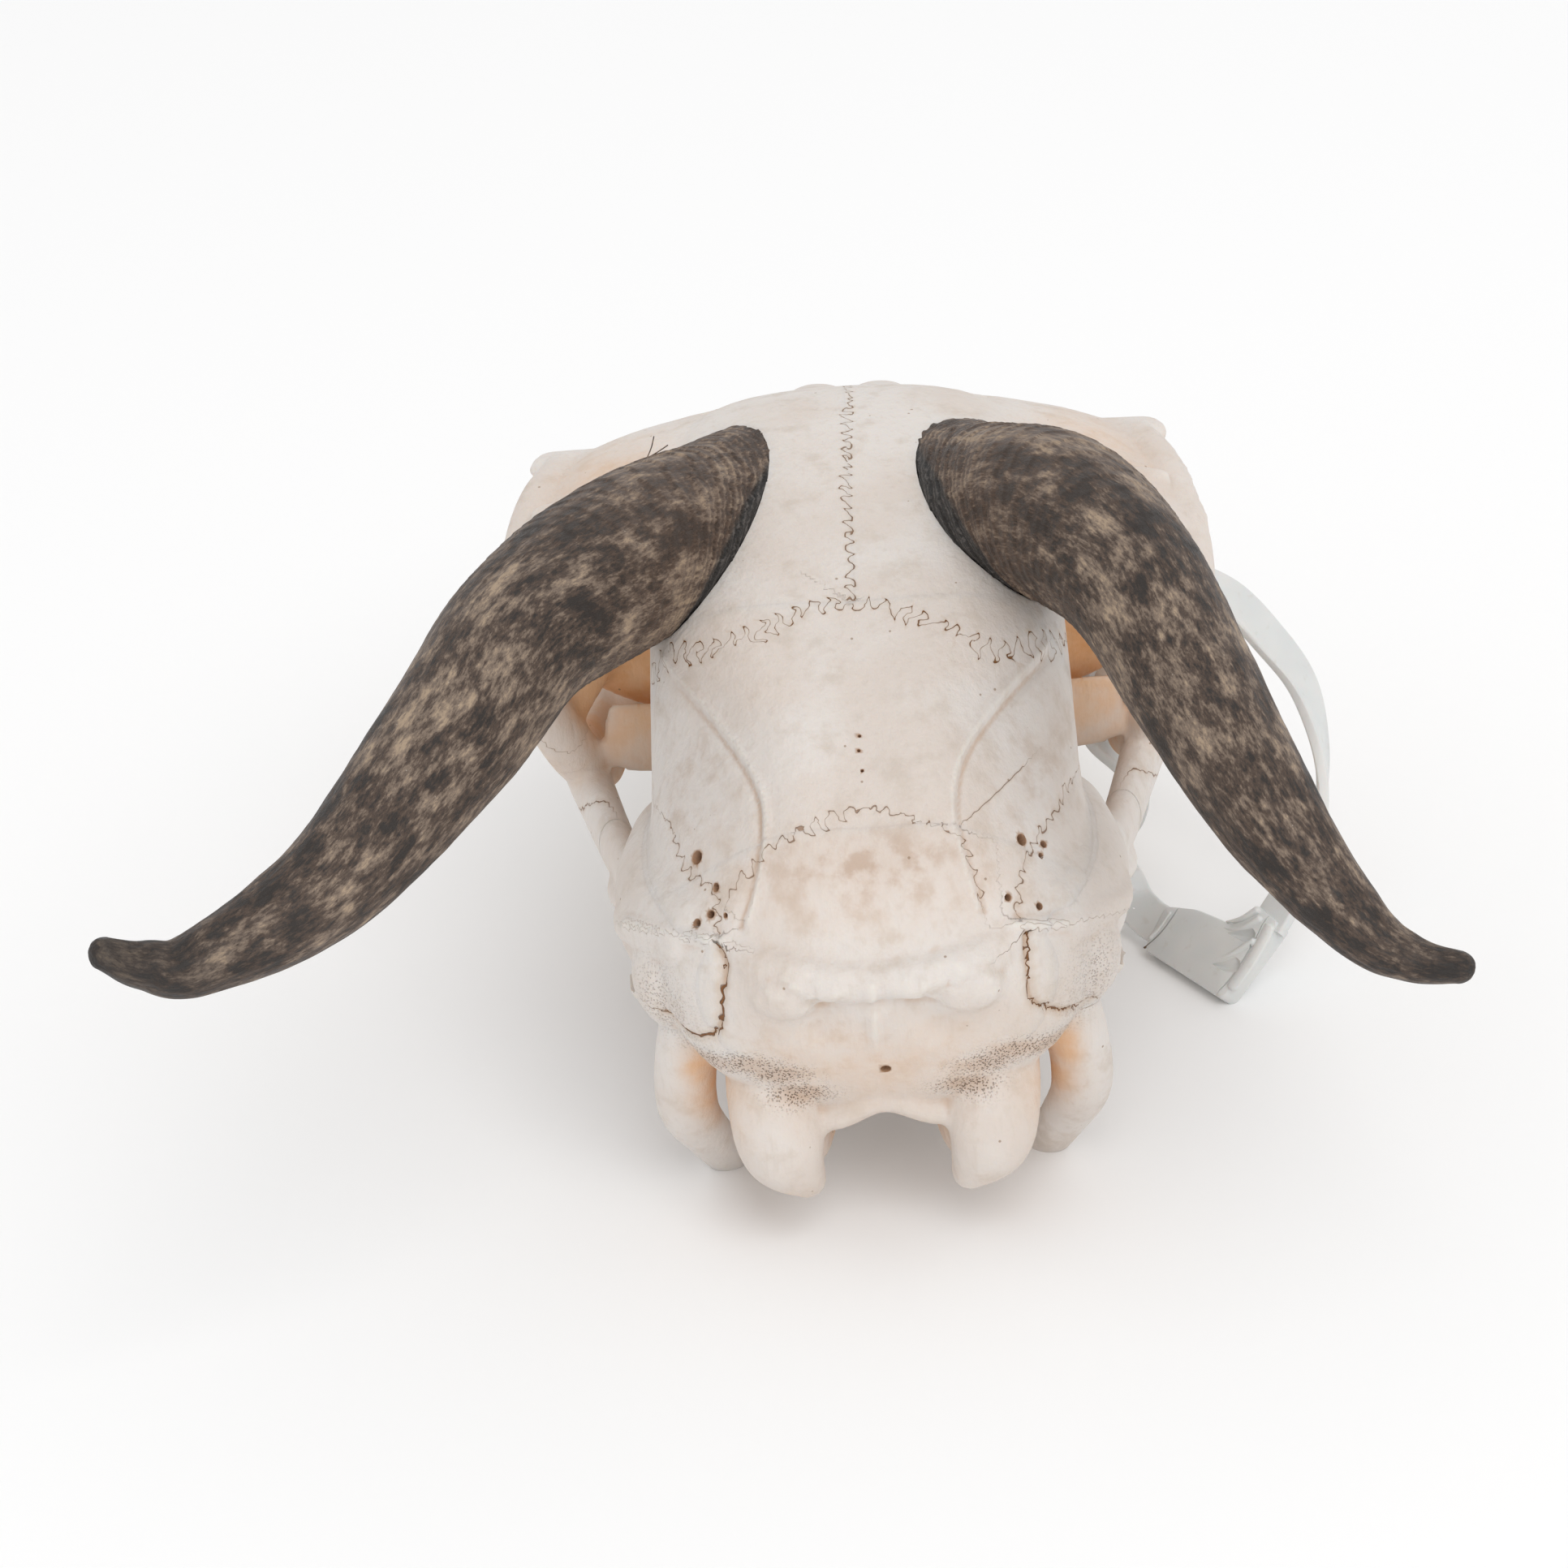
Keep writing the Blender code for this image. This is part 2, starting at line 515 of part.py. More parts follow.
def muzzle_forms(side):
    """Nasal bone and the two prongs of the premaxilla of one side."""
    upright = (0.0, 0.0, 1.0)
    return [
        tube("nasal", mirrored([(5.2, 56.0, 64.2, 5.6, 3.0), (5.2, 76.0, 56.4, 5.2, 2.6),
                                (4.4, 89.0, 50.6, 4.2, 2.2),
                                (3.0, NOSE_TIP_Y, 46.4, 2.2, 1.7)], side), upright),
        tube("nasal_process", mirrored([(13.5, 64.0, 44.0, 2.4, 8.0), (12.2, 82.0, 34.5, 2.2, 7.2),
                                        (10.2, 97.0, 24.0, 2.1, 6.4), (8.6, 109.0, 15.5, 2.4, 4.8),
                                        (6.0, MUZZLE_TIP_Y, 10.0, 3.6, 3.0)], side), upright),
        tube("palate_edge", mirrored([(10.5, 78.0, 14.5, 3.4, 3.0), (9.6, 92.0, 13.0, 2.8, 2.4),
                                      (8.2, 106.0, 11.0, 2.8, 2.2),
                                      (6.4, 117.0, 9.4, 3.6, 2.2)], side), upright),
        tube("palatine_process", mirrored([(2.2, 82.0, 14.4, 1.9, 2.2), (2.2, 98.0, 12.0, 1.8, 2.0),
                                           (3.8, 112.0, 10.0, 2.2, 2.2), (5.0, 117.0, 9.4, 2.6, 2.2)], side),
             upright),
    ]


def horn_base(name):
    """Centre and normal of the plane that a horn's sheath ends in, and the horn's first direction."""
    side = SIDES[name]
    keys = np.array(HORN_KEYS[name])
    normal = unit(np.array(HORN_BASE_NORMAL) * (side, 1.0, 1.0))
    return keys[0, :3], normal, unit(keys[1, :3] - keys[0, :3])


def horn_rows(name, grow):
    """Evenly spaced rows of a horn's core line, made thicker by grow and carried on below its base."""
    keys = np.array(HORN_KEYS[name])
    keys[:, 3:] += grow
    fine = spline(keys, 24)
    gaps = np.linalg.norm(np.diff(fine[:, :3], axis=0), axis=1)
    length = np.concatenate([[0.0], np.cumsum(gaps)])
    places = np.linspace(0.0, length[-1], HORN_RINGS)
    rows = np.stack([np.interp(places, length, fine[:, column]) for column in range(5)], axis=1)
    start = rows[0].copy()
    start[:3] -= unit(rows[1, :3] - rows[0, :3]) * HORN_ROOT
    return np.vstack([start, rows])


def horn(object_name, name, grow=0.0):
    """A horn sheath as one closed body, cut flat at its base plane; grow makes it thicker all round."""
    rows = horn_rows(name, grow)
    view = unit(HORN_VIEW)
    rings = []
    for index, row in enumerate(rows):
        ahead = unit(rows[min(index + 1, len(rows) - 1), :3] - rows[max(index - 1, 0), :3])
        across = unit(np.cross(view, ahead))
        deep = np.cross(ahead, across)
        angles = [2 * math.pi * step / HORN_SIDES for step in range(HORN_SIDES)]
        rings.append([row[:3] + across * row[3] * math.cos(a) + deep * row[4] * math.sin(a) for a in angles])
    middle = rows[-1, :3]
    ahead = unit(rows[-1, :3] - rows[-2, :3])
    for shift, scale in ((0.5, 0.86), (0.85, 0.5)):
        rings.append([middle + (point - middle) * scale + ahead * rows[-1, 3] * shift for point in rings[-1]])
    sheath = loft(object_name, rings)
    base, normal, _ = horn_base(name)
    mesh_data = bmesh.new()
    mesh_data.from_mesh(sheath.data)
    everything = mesh_data.verts[:] + mesh_data.edges[:] + mesh_data.faces[:]
    cut = bmesh.ops.bisect_plane(
        mesh_data, geom=everything, plane_co=Vector(base - normal * grow) * MM, plane_no=Vector(normal),
        clear_inner=True)
    rim = [item for item in cut["geom_cut"] if isinstance(item, bmesh.types.BMEdge)]
    bmesh.ops.holes_fill(mesh_data, edges=rim)
    bmesh.ops.triangulate(mesh_data, faces=mesh_data.faces)
    bmesh.ops.recalc_face_normals(mesh_data, faces=mesh_data.faces)
    mesh_data.to_mesh(sheath.data)
    mesh_data.free()
    return sheath


def horn_boss(name):
    """The stub of frontal bone that carries a horn, reaching past the base plane until it is trimmed."""
    base, normal, ahead = horn_base(name)
    radius = HORN_KEYS[name][0][3]
    slant = float(np.dot(ahead, normal))
    long_way = unit(ahead - normal * slant)
    across = np.cross(normal, long_way)
    rings = []
    for height, scale in ((-BOSS_DEPTH, 0.9), (BOSS_RISE, 1.0)):
        ring = []
        for step in range(HORN_SIDES):
            angle = 2 * math.pi * step / HORN_SIDES
            ring.append(base + normal * height
                        + long_way * (radius / slant - BOSS_INSET) * scale * math.cos(angle)
                        + across * (radius - BOSS_INSET) * scale * math.sin(angle))
        rings.append(ring)
    return loft("boss", rings)


def cranium_cutters():
    """Openings of the skull: nose, notch beside the nasals, foramen magnum, ear and nerve holes."""
    upright = (0.0, 0.0, 1.0)
    cutters = [
        tube("nasal_cavity", [(0.0, 58.0, 43.0, 3.5, 5.0), (0.0, 70.0, 41.0, 8.0, 11.5),
                              (0.0, 88.0, 34.5, 9.0, 14.0), (0.0, 104.0, 30.0, 8.6, 16.0),
                              (0.0, 130.0, 26.0, 8.6, 18.0)], upright, sides=20),
        prism("nose_notch", [(79.0, 51.8), (100.0, 42.5), (128.0, 42.5), (128.0, 14.0), (112.0, 21.5),
                             (98.0, 30.5), (86.0, 38.0)], "X", -30.0, 30.0),
        tube("foramen_magnum", [(0.0, -106.0, 0.0, 9.2, 9.0), (0.0, -92.0, 11.8, 8.8, 8.6),
                                (0.0, -83.0, 19.0, 7.5, 6.0)], upright, sides=16),
    ]
    for side in SIDES.values():
        cutters.append(tube("ear_hole", mirrored([(29.0, -69.2, 31.4, 2.4, 2.4),
                                                  (36.0, -71.3, 34.4, 2.7, 2.7),
                                                  (46.0, -74.0, 38.5, 2.8, 2.8)], side), upright))
        cutters.append(tube("infraorbital_hole", mirrored([(16.0, 54.0, 33.0, 1.6, 2.4),
                                                           (22.0, 58.0, 31.5, 1.8, 2.6),
                                                           (30.0, 66.0, 29.0, 2.4, 3.0)], side), upright))
        cutters.append(tube("supraorbital_hole", mirrored([(20.0, -2.0, 82.0, 1.5, 1.9),
                                                           (20.0, 2.0, 92.0, 1.6, 2.2),
                                                           (20.0, 5.0, 101.0, 2.0, 2.8)], side),
                            (1.0, 0.0, 0.0)))
    return cutters


def cranium():
    """All bones as one fused body, faceted and trimmed at the floor."""
    body = core()
    forms = []
    for name, side in SIDES.items():
        forms += braincase_forms(side) + cheek_forms(side) + muzzle_forms(side) + orbit_rim(side)
        forms.append(horn_boss(name))
    forms.append(tube("skull_base", [(0.0, -82.0, 19.5, 9.5, 4.0), (0.0, -70.0, 20.0, 9.5, 5.0),
                                     (0.0, -58.0, 23.0, 8.5, 5.5), (0.0, -44.0, 27.0, 7.0, 6.0)],
                      (0.0, 0.0, 1.0)))
    forms.append(tube("foramen_rim", [(-12.0, -90.5, 20.4, 2.6, 2.2), (-6.5, -92.3, 21.8, 2.4, 2.1),
                                      (0.0, -92.8, 24.6, 2.4, 2.1), (6.5, -92.3, 21.8, 2.4, 2.1),
                                      (12.0, -90.5, 20.4, 2.6, 2.2)], (0.0, 0.0, 1.0)))
    combine(body, forms, "UNION")
    combine(body, cranium_cutters(), "DIFFERENCE")
    fuse = body.modifiers.new("fuse", "REMESH")
    fuse.mode = "VOXEL"
    fuse.voxel_size = FUSE_VOXEL * MM
    soften = body.modifiers.new("soften", "SMOOTH")
    soften.factor = 0.5
    soften.iterations = SMOOTHING_PASSES
    replace_mesh(body)
    keep_largest(body)
    facet = body.modifiers.new("facet", "DECIMATE")
    facet.ratio = min(1.0, CRANIUM_TRIANGLES / (2.0 * len(body.data.polygons)))
    replace_mesh(body)
    trims = [horn("horn_space", name, GAP) for name in SIDES]
    trims.append(prism("floor", [(-90.0, -FLOOR_DEPTH), (90.0, -FLOOR_DEPTH), (90.0, 0.0), (-90.0, 0.0)],
                       "Y", -150.0, 150.0))
    combine(body, trims, "DIFFERENCE")
    keep_largest(body)
    return body


def copy_of(item, name):
    """A second object with its own copy of the item's mesh."""
    twin = bpy.data.objects.new(name, item.data.copy())
    bpy.context.scene.collection.objects.link(twin)
    return twin


def take(rest, name, region):
    """Parts the named bone from the rest: region(grow) makes the solid that it fills."""
    bone = copy_of(rest, name)
    combine(bone, [region(0.0)], "INTERSECT", "MANIFOLD")
    keep_largest(bone)
    combine(rest, [region(GAP)], "DIFFERENCE", "MANIFOLD")
    return bone


def side_prism(outline, inner, outer, side=1.0):
    """A region inside an outline seen from the side, from the inner distance outwards."""
    inner = np.broadcast_to(inner, len(outline))

    def region(grow):
        edge = grown_outline(outline, grow)
        near = [((start - grow) * side, y, z) for start, (y, z) in zip(inner, edge)]
        far = [((outer + grow) * side, y, z) for y, z in edge]
        return loft("region", [near, far])
    return region


def halves(pair, name):
    """Parts a pair of bones at the midline: the right one, and what is left as the left one."""
    everywhere = ((-160.0, -10.0), (140.0, -10.0), (140.0, 120.0), (-160.0, 120.0))
    right = take(pair, name + "_right", side_prism(everywhere, 0.5 * GAP, FAR))
    keep_largest(pair)
    pair.name = name + "_left"
    return {right.name: right, pair.name: pair}


def nasal_region():
    """The strip of roof that the two nasal bones fill."""
    rows = ((NASION_Y - 4.0, 2.5), (NASION_Y + 3.0, 8.5), (50.0, 9.5), (66.0, 10.5), (76.0, 12.0),
            (103.0, 12.0))
    depth = 5.2

    def region(grow):
        rings = []
        for index, (y, width) in enumerate(rows):
            shift = 0.0
            if index == 0:
                shift = -grow
            if index == len(rows) - 1:
                shift = grow
            roof = roof_height(min(y, CORE_SECTIONS[-1][0]))
            fall = max(0.0, y - CORE_SECTIONS[-1][0]) * 0.5
            low = roof - depth - fall - grow
            edge = width + grow
            high = roof + 8.0
            corners = ((-edge, low - 1.0), (0.0, low), (edge, low - 1.0), (edge, high), (-edge, high))
            rings.append([(x, y + shift, z) for x, z in corners])
        return loft("region", rings)
    return region


def parted_bones(body):
    """The bones of the cranium, each its own object; what is left at the end is the sphenoid."""
    bones = {}
    bones.update(halves(take(body, "pair", nasal_region()), "nasal"))
    bones.update(halves(take(body, "pair", side_prism(PREMAXILLA_OUTLINE, -FAR, FAR)), "premaxilla"))
    bones.update(halves(take(body, "pair", side_prism(FRONTAL_OUTLINE, -FAR, FAR)), "frontal"))
    bones["parietal"] = take(body, "parietal", side_prism(PARIETAL_OUTLINE, -FAR, FAR))
    for name, side in SIDES.items():
        for bone, outline, inner in (("temporal", TEMPORAL_OUTLINE, 13.0),
                                     ("zygomatic", ZYGOMATIC_OUTLINE, ZYGOMATIC_INNER),
                                     ("lacrimal", LACRIMAL_OUTLINE, 17.0)):
            bones[f"{bone}_{name}"] = take(body, f"{bone}_{name}", side_prism(outline, inner, FAR, side))
    bones["occipital"] = take(body, "occipital", side_prism(OCCIPITAL_OUTLINE, -FAR, FAR))
    bones.update(halves(take(body, "pair", side_prism(MAXILLA_OUTLINE, -FAR, FAR)), "maxilla"))
    keep_largest(body)
    body.name = "sphenoid"
    bones["sphenoid"] = body
    return bones


def row_point(along, side):
    """Place and direction on the tooth row, from 0 at its front to 1 at its back."""
    front, middle, back = (np.array(point) for point in (TOOTH_ROW_FRONT, TOOTH_ROW_MIDDLE, TOOTH_ROW_BACK))
    bend = 2 * middle - 0.5 * (front + back)
    place = (1 - along) ** 2 * front + 2 * along * (1 - along) * bend + along**2 * back
    heading = unit(2 * (1 - along) * (bend - front) + 2 * along * (back - bend))
    return place * (side, 1.0), heading * (side, 1.0)


def tooth_lobe(place, heading, length, breadth, draw):
    """One lobe of a cheek tooth: a rounded column, narrower at the chewing surface."""
    across = np.array((heading[1], -heading[0]))
    rings = []
    levels = ((CROWN_HEIGHT + ROOT_SUNK, 1.02), (CROWN_HEIGHT * 0.6, 1.08), (CROWN_HEIGHT * 0.22, 1.0),
              (0.0, 0.84))
    lean = draw.uniform(-0.25, 0.25)
    for height, scale in levels:
        ring = []
        for side_index in range(CROWN_SIDES):
            angle = 2 * math.pi * side_index / CROWN_SIDES
            forward = math.copysign(abs(math.cos(angle)) ** 0.75, math.cos(angle)) * length * 0.5
            sideways = math.copysign(abs(math.sin(angle)) ** 0.8, math.sin(angle)) * breadth * 0.5
            point = place + heading * (forward * scale + lean) + across * sideways * scale
            ring.append((point[0], point[1], height))
        rings.append(ring)
    return loft("tooth_lobe", rings)


def teeth(side):
    """Premolars and molars of one side, in a row from the front to the back."""
    draw = random.Random(7)
    total = sum(length for length, _, _ in TOOTH_ROWS)
    lobes = []
    done = 0.0
    for length, breadth, count in TOOTH_ROWS:
        for lobe in range(count):
            share = length / count
            middle = (done + share * (lobe + 0.5)) / total
            place, heading = row_point(middle, side)
            width = breadth * (0.72 if count == 3 and lobe == 2 else 1.0) * draw.uniform(0.97, 1.03)
            lobes.append(tooth_lobe(place, heading, share * 1.06, width, draw))
        done += length
    return lobes


def tag_strap():
    """The tag's band: a flat strip with bevelled edges along its loop."""
    rows = spline(STRAP_KEYS, 2)
    half_width = 0.5 * STRAP_WIDTH
    half_thickness = 0.5 * STRAP_THICKNESS
    bevel = 0.5 * half_thickness
    flat = half_width - bevel
    corners = ((half_width, bevel), (flat, half_thickness), (-flat, half_thickness), (-half_width, bevel),
               (-half_width, -bevel), (-flat, -half_thickness), (flat, -half_thickness), (half_width, -bevel))
    rings = []
    for index, row in enumerate(rows):
        ahead = unit(rows[min(index + 1, len(rows) - 1), :3] - rows[max(index - 1, 0), :3])
        across = unit(np.cross(row[3:], ahead))
        facing = np.cross(ahead, across)
        rings.append([row[:3] + across * sideways + facing * outwards for sideways, outwards in corners])
    return loft("tag_strap", rings)


def tag_lock():
    """The tag's lock: a bevelled plate that leans back and stands on a flat along its lower edge."""
    ahead = unit(LOCK_HEADING)
    level = np.array((-ahead[1], ahead[0], 0.0))
    lean = math.radians(LOCK_LEAN)
    upward = level * math.cos(lean) + np.array((0.0, 0.0, 1.0)) * math.sin(lean)
    facing = np.cross(ahead, upward)
    rings = []
    for depth, inset in ((0.0, LOCK_BEVEL), (LOCK_BEVEL, 0.0), (LOCK_THICKNESS - LOCK_BEVEL, 0.0),
                         (LOCK_THICKNESS, LOCK_BEVEL)):
        rings.append([LOCK_CORNER + ahead * along + upward * up - facing * depth
                      for along, up in grown_outline(LOCK_OUTLINE, -inset)])
    lock = loft("tag_lock", rings)
    floor = prism("floor", [(-90.0, -FLOOR_DEPTH), (90.0, -FLOOR_DEPTH), (90.0, 0.0), (-90.0, 0.0)],
                  "Y", -150.0, 150.0)
    combine(lock, [floor], "DIFFERENCE")
    return lock


def material(name, colour, roughness):
    """A plain surface of one colour."""
    made = bpy.data.materials.new(name)
    made.use_nodes = True
    shader = made.node_tree.nodes["Principled BSDF"]
    shader.inputs["Base Color"].default_value = colour
    shader.inputs["Roughness"].default_value = roughness
    shader.inputs["Metallic"].default_value = 0.0
    return made


def dress(item, colour, roughness, frame):
    """Gives a finished piece its material, its shading and its place under the skull's frame."""
    item.data.materials.clear()
    item.data.materials.append(material(item.name, colour, roughness))
    item.data.shade_smooth()
    item.data.set_sharp_from_angle(angle=math.radians(40.0))
    item.parent = frame


def main():
    """Builds every node and parents it to the skull's frame."""
    clear_scene()
    frame = bpy.data.objects.new("skull_frame", None)
    frame.location = (SKULL_OFFSET_X * MM, SKULL_OFFSET_Y * MM, 0.0)
    bpy.context.scene.collection.objects.link(frame)
    bones = parted_bones(cranium())
    for name, side in SIDES.items():
        combine(bones["maxilla_" + name], teeth(side), "UNION", "MANIFOLD")
        keep_largest(bones["maxilla_" + name])
    for name, bone in bones.items():
        colour = TOOTH_BONE_COLOUR if name.startswith("maxilla") else BONE_COLOUR
        dress(bone, colour, 0.6, frame)
    for name in SIDES:
        dress(horn("horn_" + name, name), HORN_COLOUR, 0.55, frame)
    dress(tag_lock(), TAG_COLOUR, 0.3, frame)
    strap = tag_strap()
    dress(strap, TAG_COLOUR, 0.3, frame)


main()
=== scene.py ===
"""A dry goat skull with two horn sheaths and a loop tag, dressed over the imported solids.

Sizes are millimetres in the skull's own frame, where +X is the skull's right, +Y points to the nose, +Z is up
and the chewing surfaces lie at z = 0. PLACE moves that frame to the part's frame when a mesh is made.
"""
import json
import logging
import math
import random
from dataclasses import dataclass, field
from enum import Enum
from typing import Any, Callable, Iterable, Sequence

import bmesh
import bpy
import numpy as np
from mathutils import Matrix, Vector

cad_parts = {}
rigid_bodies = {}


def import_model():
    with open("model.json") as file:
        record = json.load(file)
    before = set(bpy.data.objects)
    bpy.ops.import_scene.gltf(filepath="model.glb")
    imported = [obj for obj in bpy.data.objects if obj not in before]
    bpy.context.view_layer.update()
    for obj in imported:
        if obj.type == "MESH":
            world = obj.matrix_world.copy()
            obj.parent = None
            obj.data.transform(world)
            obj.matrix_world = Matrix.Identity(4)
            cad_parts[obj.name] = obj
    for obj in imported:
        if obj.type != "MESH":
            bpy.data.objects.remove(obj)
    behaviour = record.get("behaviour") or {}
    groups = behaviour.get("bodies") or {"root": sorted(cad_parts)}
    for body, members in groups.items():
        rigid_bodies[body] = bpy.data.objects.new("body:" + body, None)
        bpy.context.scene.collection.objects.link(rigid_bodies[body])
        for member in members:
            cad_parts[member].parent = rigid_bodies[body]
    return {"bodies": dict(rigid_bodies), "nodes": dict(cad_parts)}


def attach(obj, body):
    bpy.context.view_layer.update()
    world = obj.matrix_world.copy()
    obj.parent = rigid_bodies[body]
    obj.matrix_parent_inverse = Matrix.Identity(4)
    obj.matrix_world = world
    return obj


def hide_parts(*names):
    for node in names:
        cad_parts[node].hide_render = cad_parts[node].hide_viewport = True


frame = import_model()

LOG = logging.getLogger("goat_skull")
MM = 0.001
PLACE = np.array((11.3, 12.93, 0.0))
SIDES = {"right": 1.0, "left": -1.0}
UPRIGHT = (0.0, 0.0, 1.0)
EVEN = (1.0, 1.0, 1.0)

Row = Sequence[float]
Rows = Sequence[Row]
Region = Callable[[], bpy.types.Object]
Frame = tuple[np.ndarray, np.ndarray, np.ndarray, np.ndarray]
Socket = bpy.types.NodeSocket


# Colours and nodes

def linear(code: str) -> tuple[float, float, float, float]:
    """Turns an sRGB hex code into the linear colour that the shaders take.

    Args:
        code: six hex digits with a leading #.

    Returns:
        The linear red, green and blue, and an alpha of one.
    """
    parts = [int(code[place:place + 2], 16) / 255.0 for place in (1, 3, 5)]
    red, green, blue = (part / 12.92 if part <= 0.04045 else ((part + 0.055) / 1.055) ** 2.4
                        for part in parts)
    return (red, green, blue, 1.0)


@dataclass
class Maker:
    """A node tree in the making, with short ways to the steps that shaders and geometry share."""

    name: str
    tree: bpy.types.NodeTree = field(init=False)

    def add(self, kind: str, inputs: dict[Any, Any] | None = None, **settings: Any) -> bpy.types.Node:
        """Adds a node, with its settings, socket values and links.

        Args:
            kind: the node's type name.
            inputs: for each socket's name or number, a value or an output to link.
            settings: properties of the node.

        Returns:
            The new node.
        """
        made = self.tree.nodes.new(kind)
        for name, value in settings.items():
            setattr(made, name, value)
        for key, value in (inputs or {}).items():
            if isinstance(value, bpy.types.NodeSocket):
                self.tree.links.new(value, made.inputs[key])
            else:
                made.inputs[key].default_value = value
        return made

    def math(self, operation: str, first: Any, second: Any = 0.0) -> Socket:
        """Adds one step of arithmetic."""
        return self.add("ShaderNodeMath", {0: first, 1: second}, operation=operation).outputs[0]

    def plus(self, first: Any, second: Any) -> Socket:
        """Adds two values."""
        return self.math("ADD", first, second)

    def minus(self, first: Any, second: Any) -> Socket:
        """Takes the second value from the first."""
        return self.math("SUBTRACT", first, second)

    def times(self, first: Any, second: Any) -> Socket:
        """Multiplies two values."""
        return self.math("MULTIPLY", first, second)

    def scaled(self, vector: Socket, factor: Any) -> Socket:
        """Scales a vector by one factor."""
        return self.add("ShaderNodeVectorMath", {0: vector, "Scale": factor}, operation="SCALE").outputs[0]

    def stretched(self, vector: Socket, factors: Row) -> Socket:
        """Scales a vector's three coordinates."""
        return self.add("ShaderNodeVectorMath", {0: vector, 1: tuple(factors)},
                        operation="MULTIPLY").outputs[0]


@dataclass
class Sheet(Maker):
    """A material's node tree with short ways to the nodes that the finishes share."""

    material: bpy.types.Material = field(init=False)
    shader: bpy.types.Node = field(init=False)
    millimetres: Socket = field(init=False)

    def __post_init__(self) -> None:
        """Makes the material and its coordinates in millimetres."""
        self.material = bpy.data.materials.new(self.name)
        self.material.use_nodes = True
        self.tree = self.material.node_tree
        self.shader = self.tree.nodes["Principled BSDF"]
        self.millimetres = self.scaled(self.add("ShaderNodeTexCoord").outputs["Object"], 1.0 / MM)

    def attribute(self, name: str, output: str = "Fac") -> Socket:
        """Reads a point attribute of the mesh, a value or with the output Vector three of them."""
        return self.add("ShaderNodeAttribute", attribute_name=name).outputs[output]

    def noise(self, size: float, detail: float = 3.0, stretch: Row = EVEN, vector: Socket | None = None,
              rough: float = 0.5) -> Socket:
        """Adds noise whose features have a real size.

        Args:
            size: the features' size in millimetres.
            detail: octaves.
            stretch: factors on the three coordinates.
            vector: coordinates in millimetres, or None for the object's.
            rough: how strong the finer octaves are.

        Returns:
            The noise's value, about 0.3 to 0.7.
        """
        spread = self.stretched(self.millimetres if vector is None else vector, stretch)
        return self.add("ShaderNodeTexNoise", {"Vector": spread, "Scale": 1.0 / size, "Detail": detail,
                                               "Roughness": rough}).outputs["Fac"]

    def cells(self, scale: float, vector: Socket | None = None) -> Socket:
        """Adds scattered points, so many to the millimetre, and returns the distance to the nearest."""
        source = self.millimetres if vector is None else vector
        return self.add("ShaderNodeTexVoronoi", {"Vector": source, "Scale": scale}).outputs["Distance"]

    def ramp(self, value: Any, low: float, high: float, bottom: float = 0.0, top: float = 1.0) -> Socket:
        """Maps a value from low..high to bottom..top with soft ends."""
        inputs = {"Value": value, "From Min": low, "From Max": high, "To Min": bottom, "To Max": top}
        return self.add("ShaderNodeMapRange", inputs, interpolation_type="SMOOTHSTEP").outputs["Result"]

    def blend(self, share: Any, first: Socket | str, second: Socket | str) -> Socket:
        """Mixes two colours.

        Args:
            share: how much of the second colour shows, 0 to 1.
            first: a colour, as an output or as an sRGB code.
            second: the colour over it, as an output or as an sRGB code.

        Returns:
            The mixed colour.
        """
        first, second = (linear(tone) if isinstance(tone, str) else tone for tone in (first, second))
        return self.add("ShaderNodeMix", {0: share, 6: first, 7: second}, data_type="RGBA").outputs[2]

    def coat(self, under: Socket, tone: Socket | str, value: Socket, low: float, high: float,
             bottom: float = 0.0,
             top: float = 1.0) -> Socket:
        """Puts a colour over another where a value says so.

        Args:
            under: the colour so far.
            tone: the colour over it.
            value: what decides between them.
            low: the value where the coat's share is bottom.
            high: the value where it is top.
            bottom: the share at low.
            top: the share at high.

        Returns:
            The colour with its coat.
        """
        return self.blend(self.ramp(value, low, high, bottom, top), under, tone)

    def relief(self, *layers: tuple[Socket, float]) -> Socket | None:
        """Adds layers of relief on one another.

        Args:
            layers: for each, what gives its height and how high it is in millimetres.

        Returns:
            The normal.
        """
        normal = None
        for height, distance in layers:
            inputs = {"Height": height, "Distance": distance * MM, "Strength": 1.0}
            if normal is not None:
                inputs["Normal"] = normal
            normal = self.add("ShaderNodeBump", inputs).outputs["Normal"]
        return normal

    def soften(self, weight: float, reach: float, radius: Row = (1.0, 0.2, 0.1)) -> None:
        """Lets light a little way under the surface.

        Args:
            weight: how much of the light goes in.
            reach: how far it goes, in millimetres.
            radius: the reach's factors for red, green and blue.
        """
        for name, value in (("Weight", weight), ("Scale", reach * MM), ("Radius", radius)):
            self.shader.inputs[f"Subsurface {name}"].default_value = value

    def finish(self, colour: Any, roughness: Any, normal: Socket) -> bpy.types.Material:
        """Links the shader's colour, roughness and relief.

        Args:
            colour: the base colour, as an output or as linear values.
            roughness: the roughness, as an output or as a value.
            normal: the relief.

        Returns:
            The finished material.
        """
        for name, value in (("Base Color", colour), ("Roughness", roughness), ("Normal", normal)):
            if isinstance(value, bpy.types.NodeSocket):
                self.tree.links.new(value, self.shader.inputs[name])
            else:
                self.shader.inputs[name].default_value = value
        return self.material


# Finishes

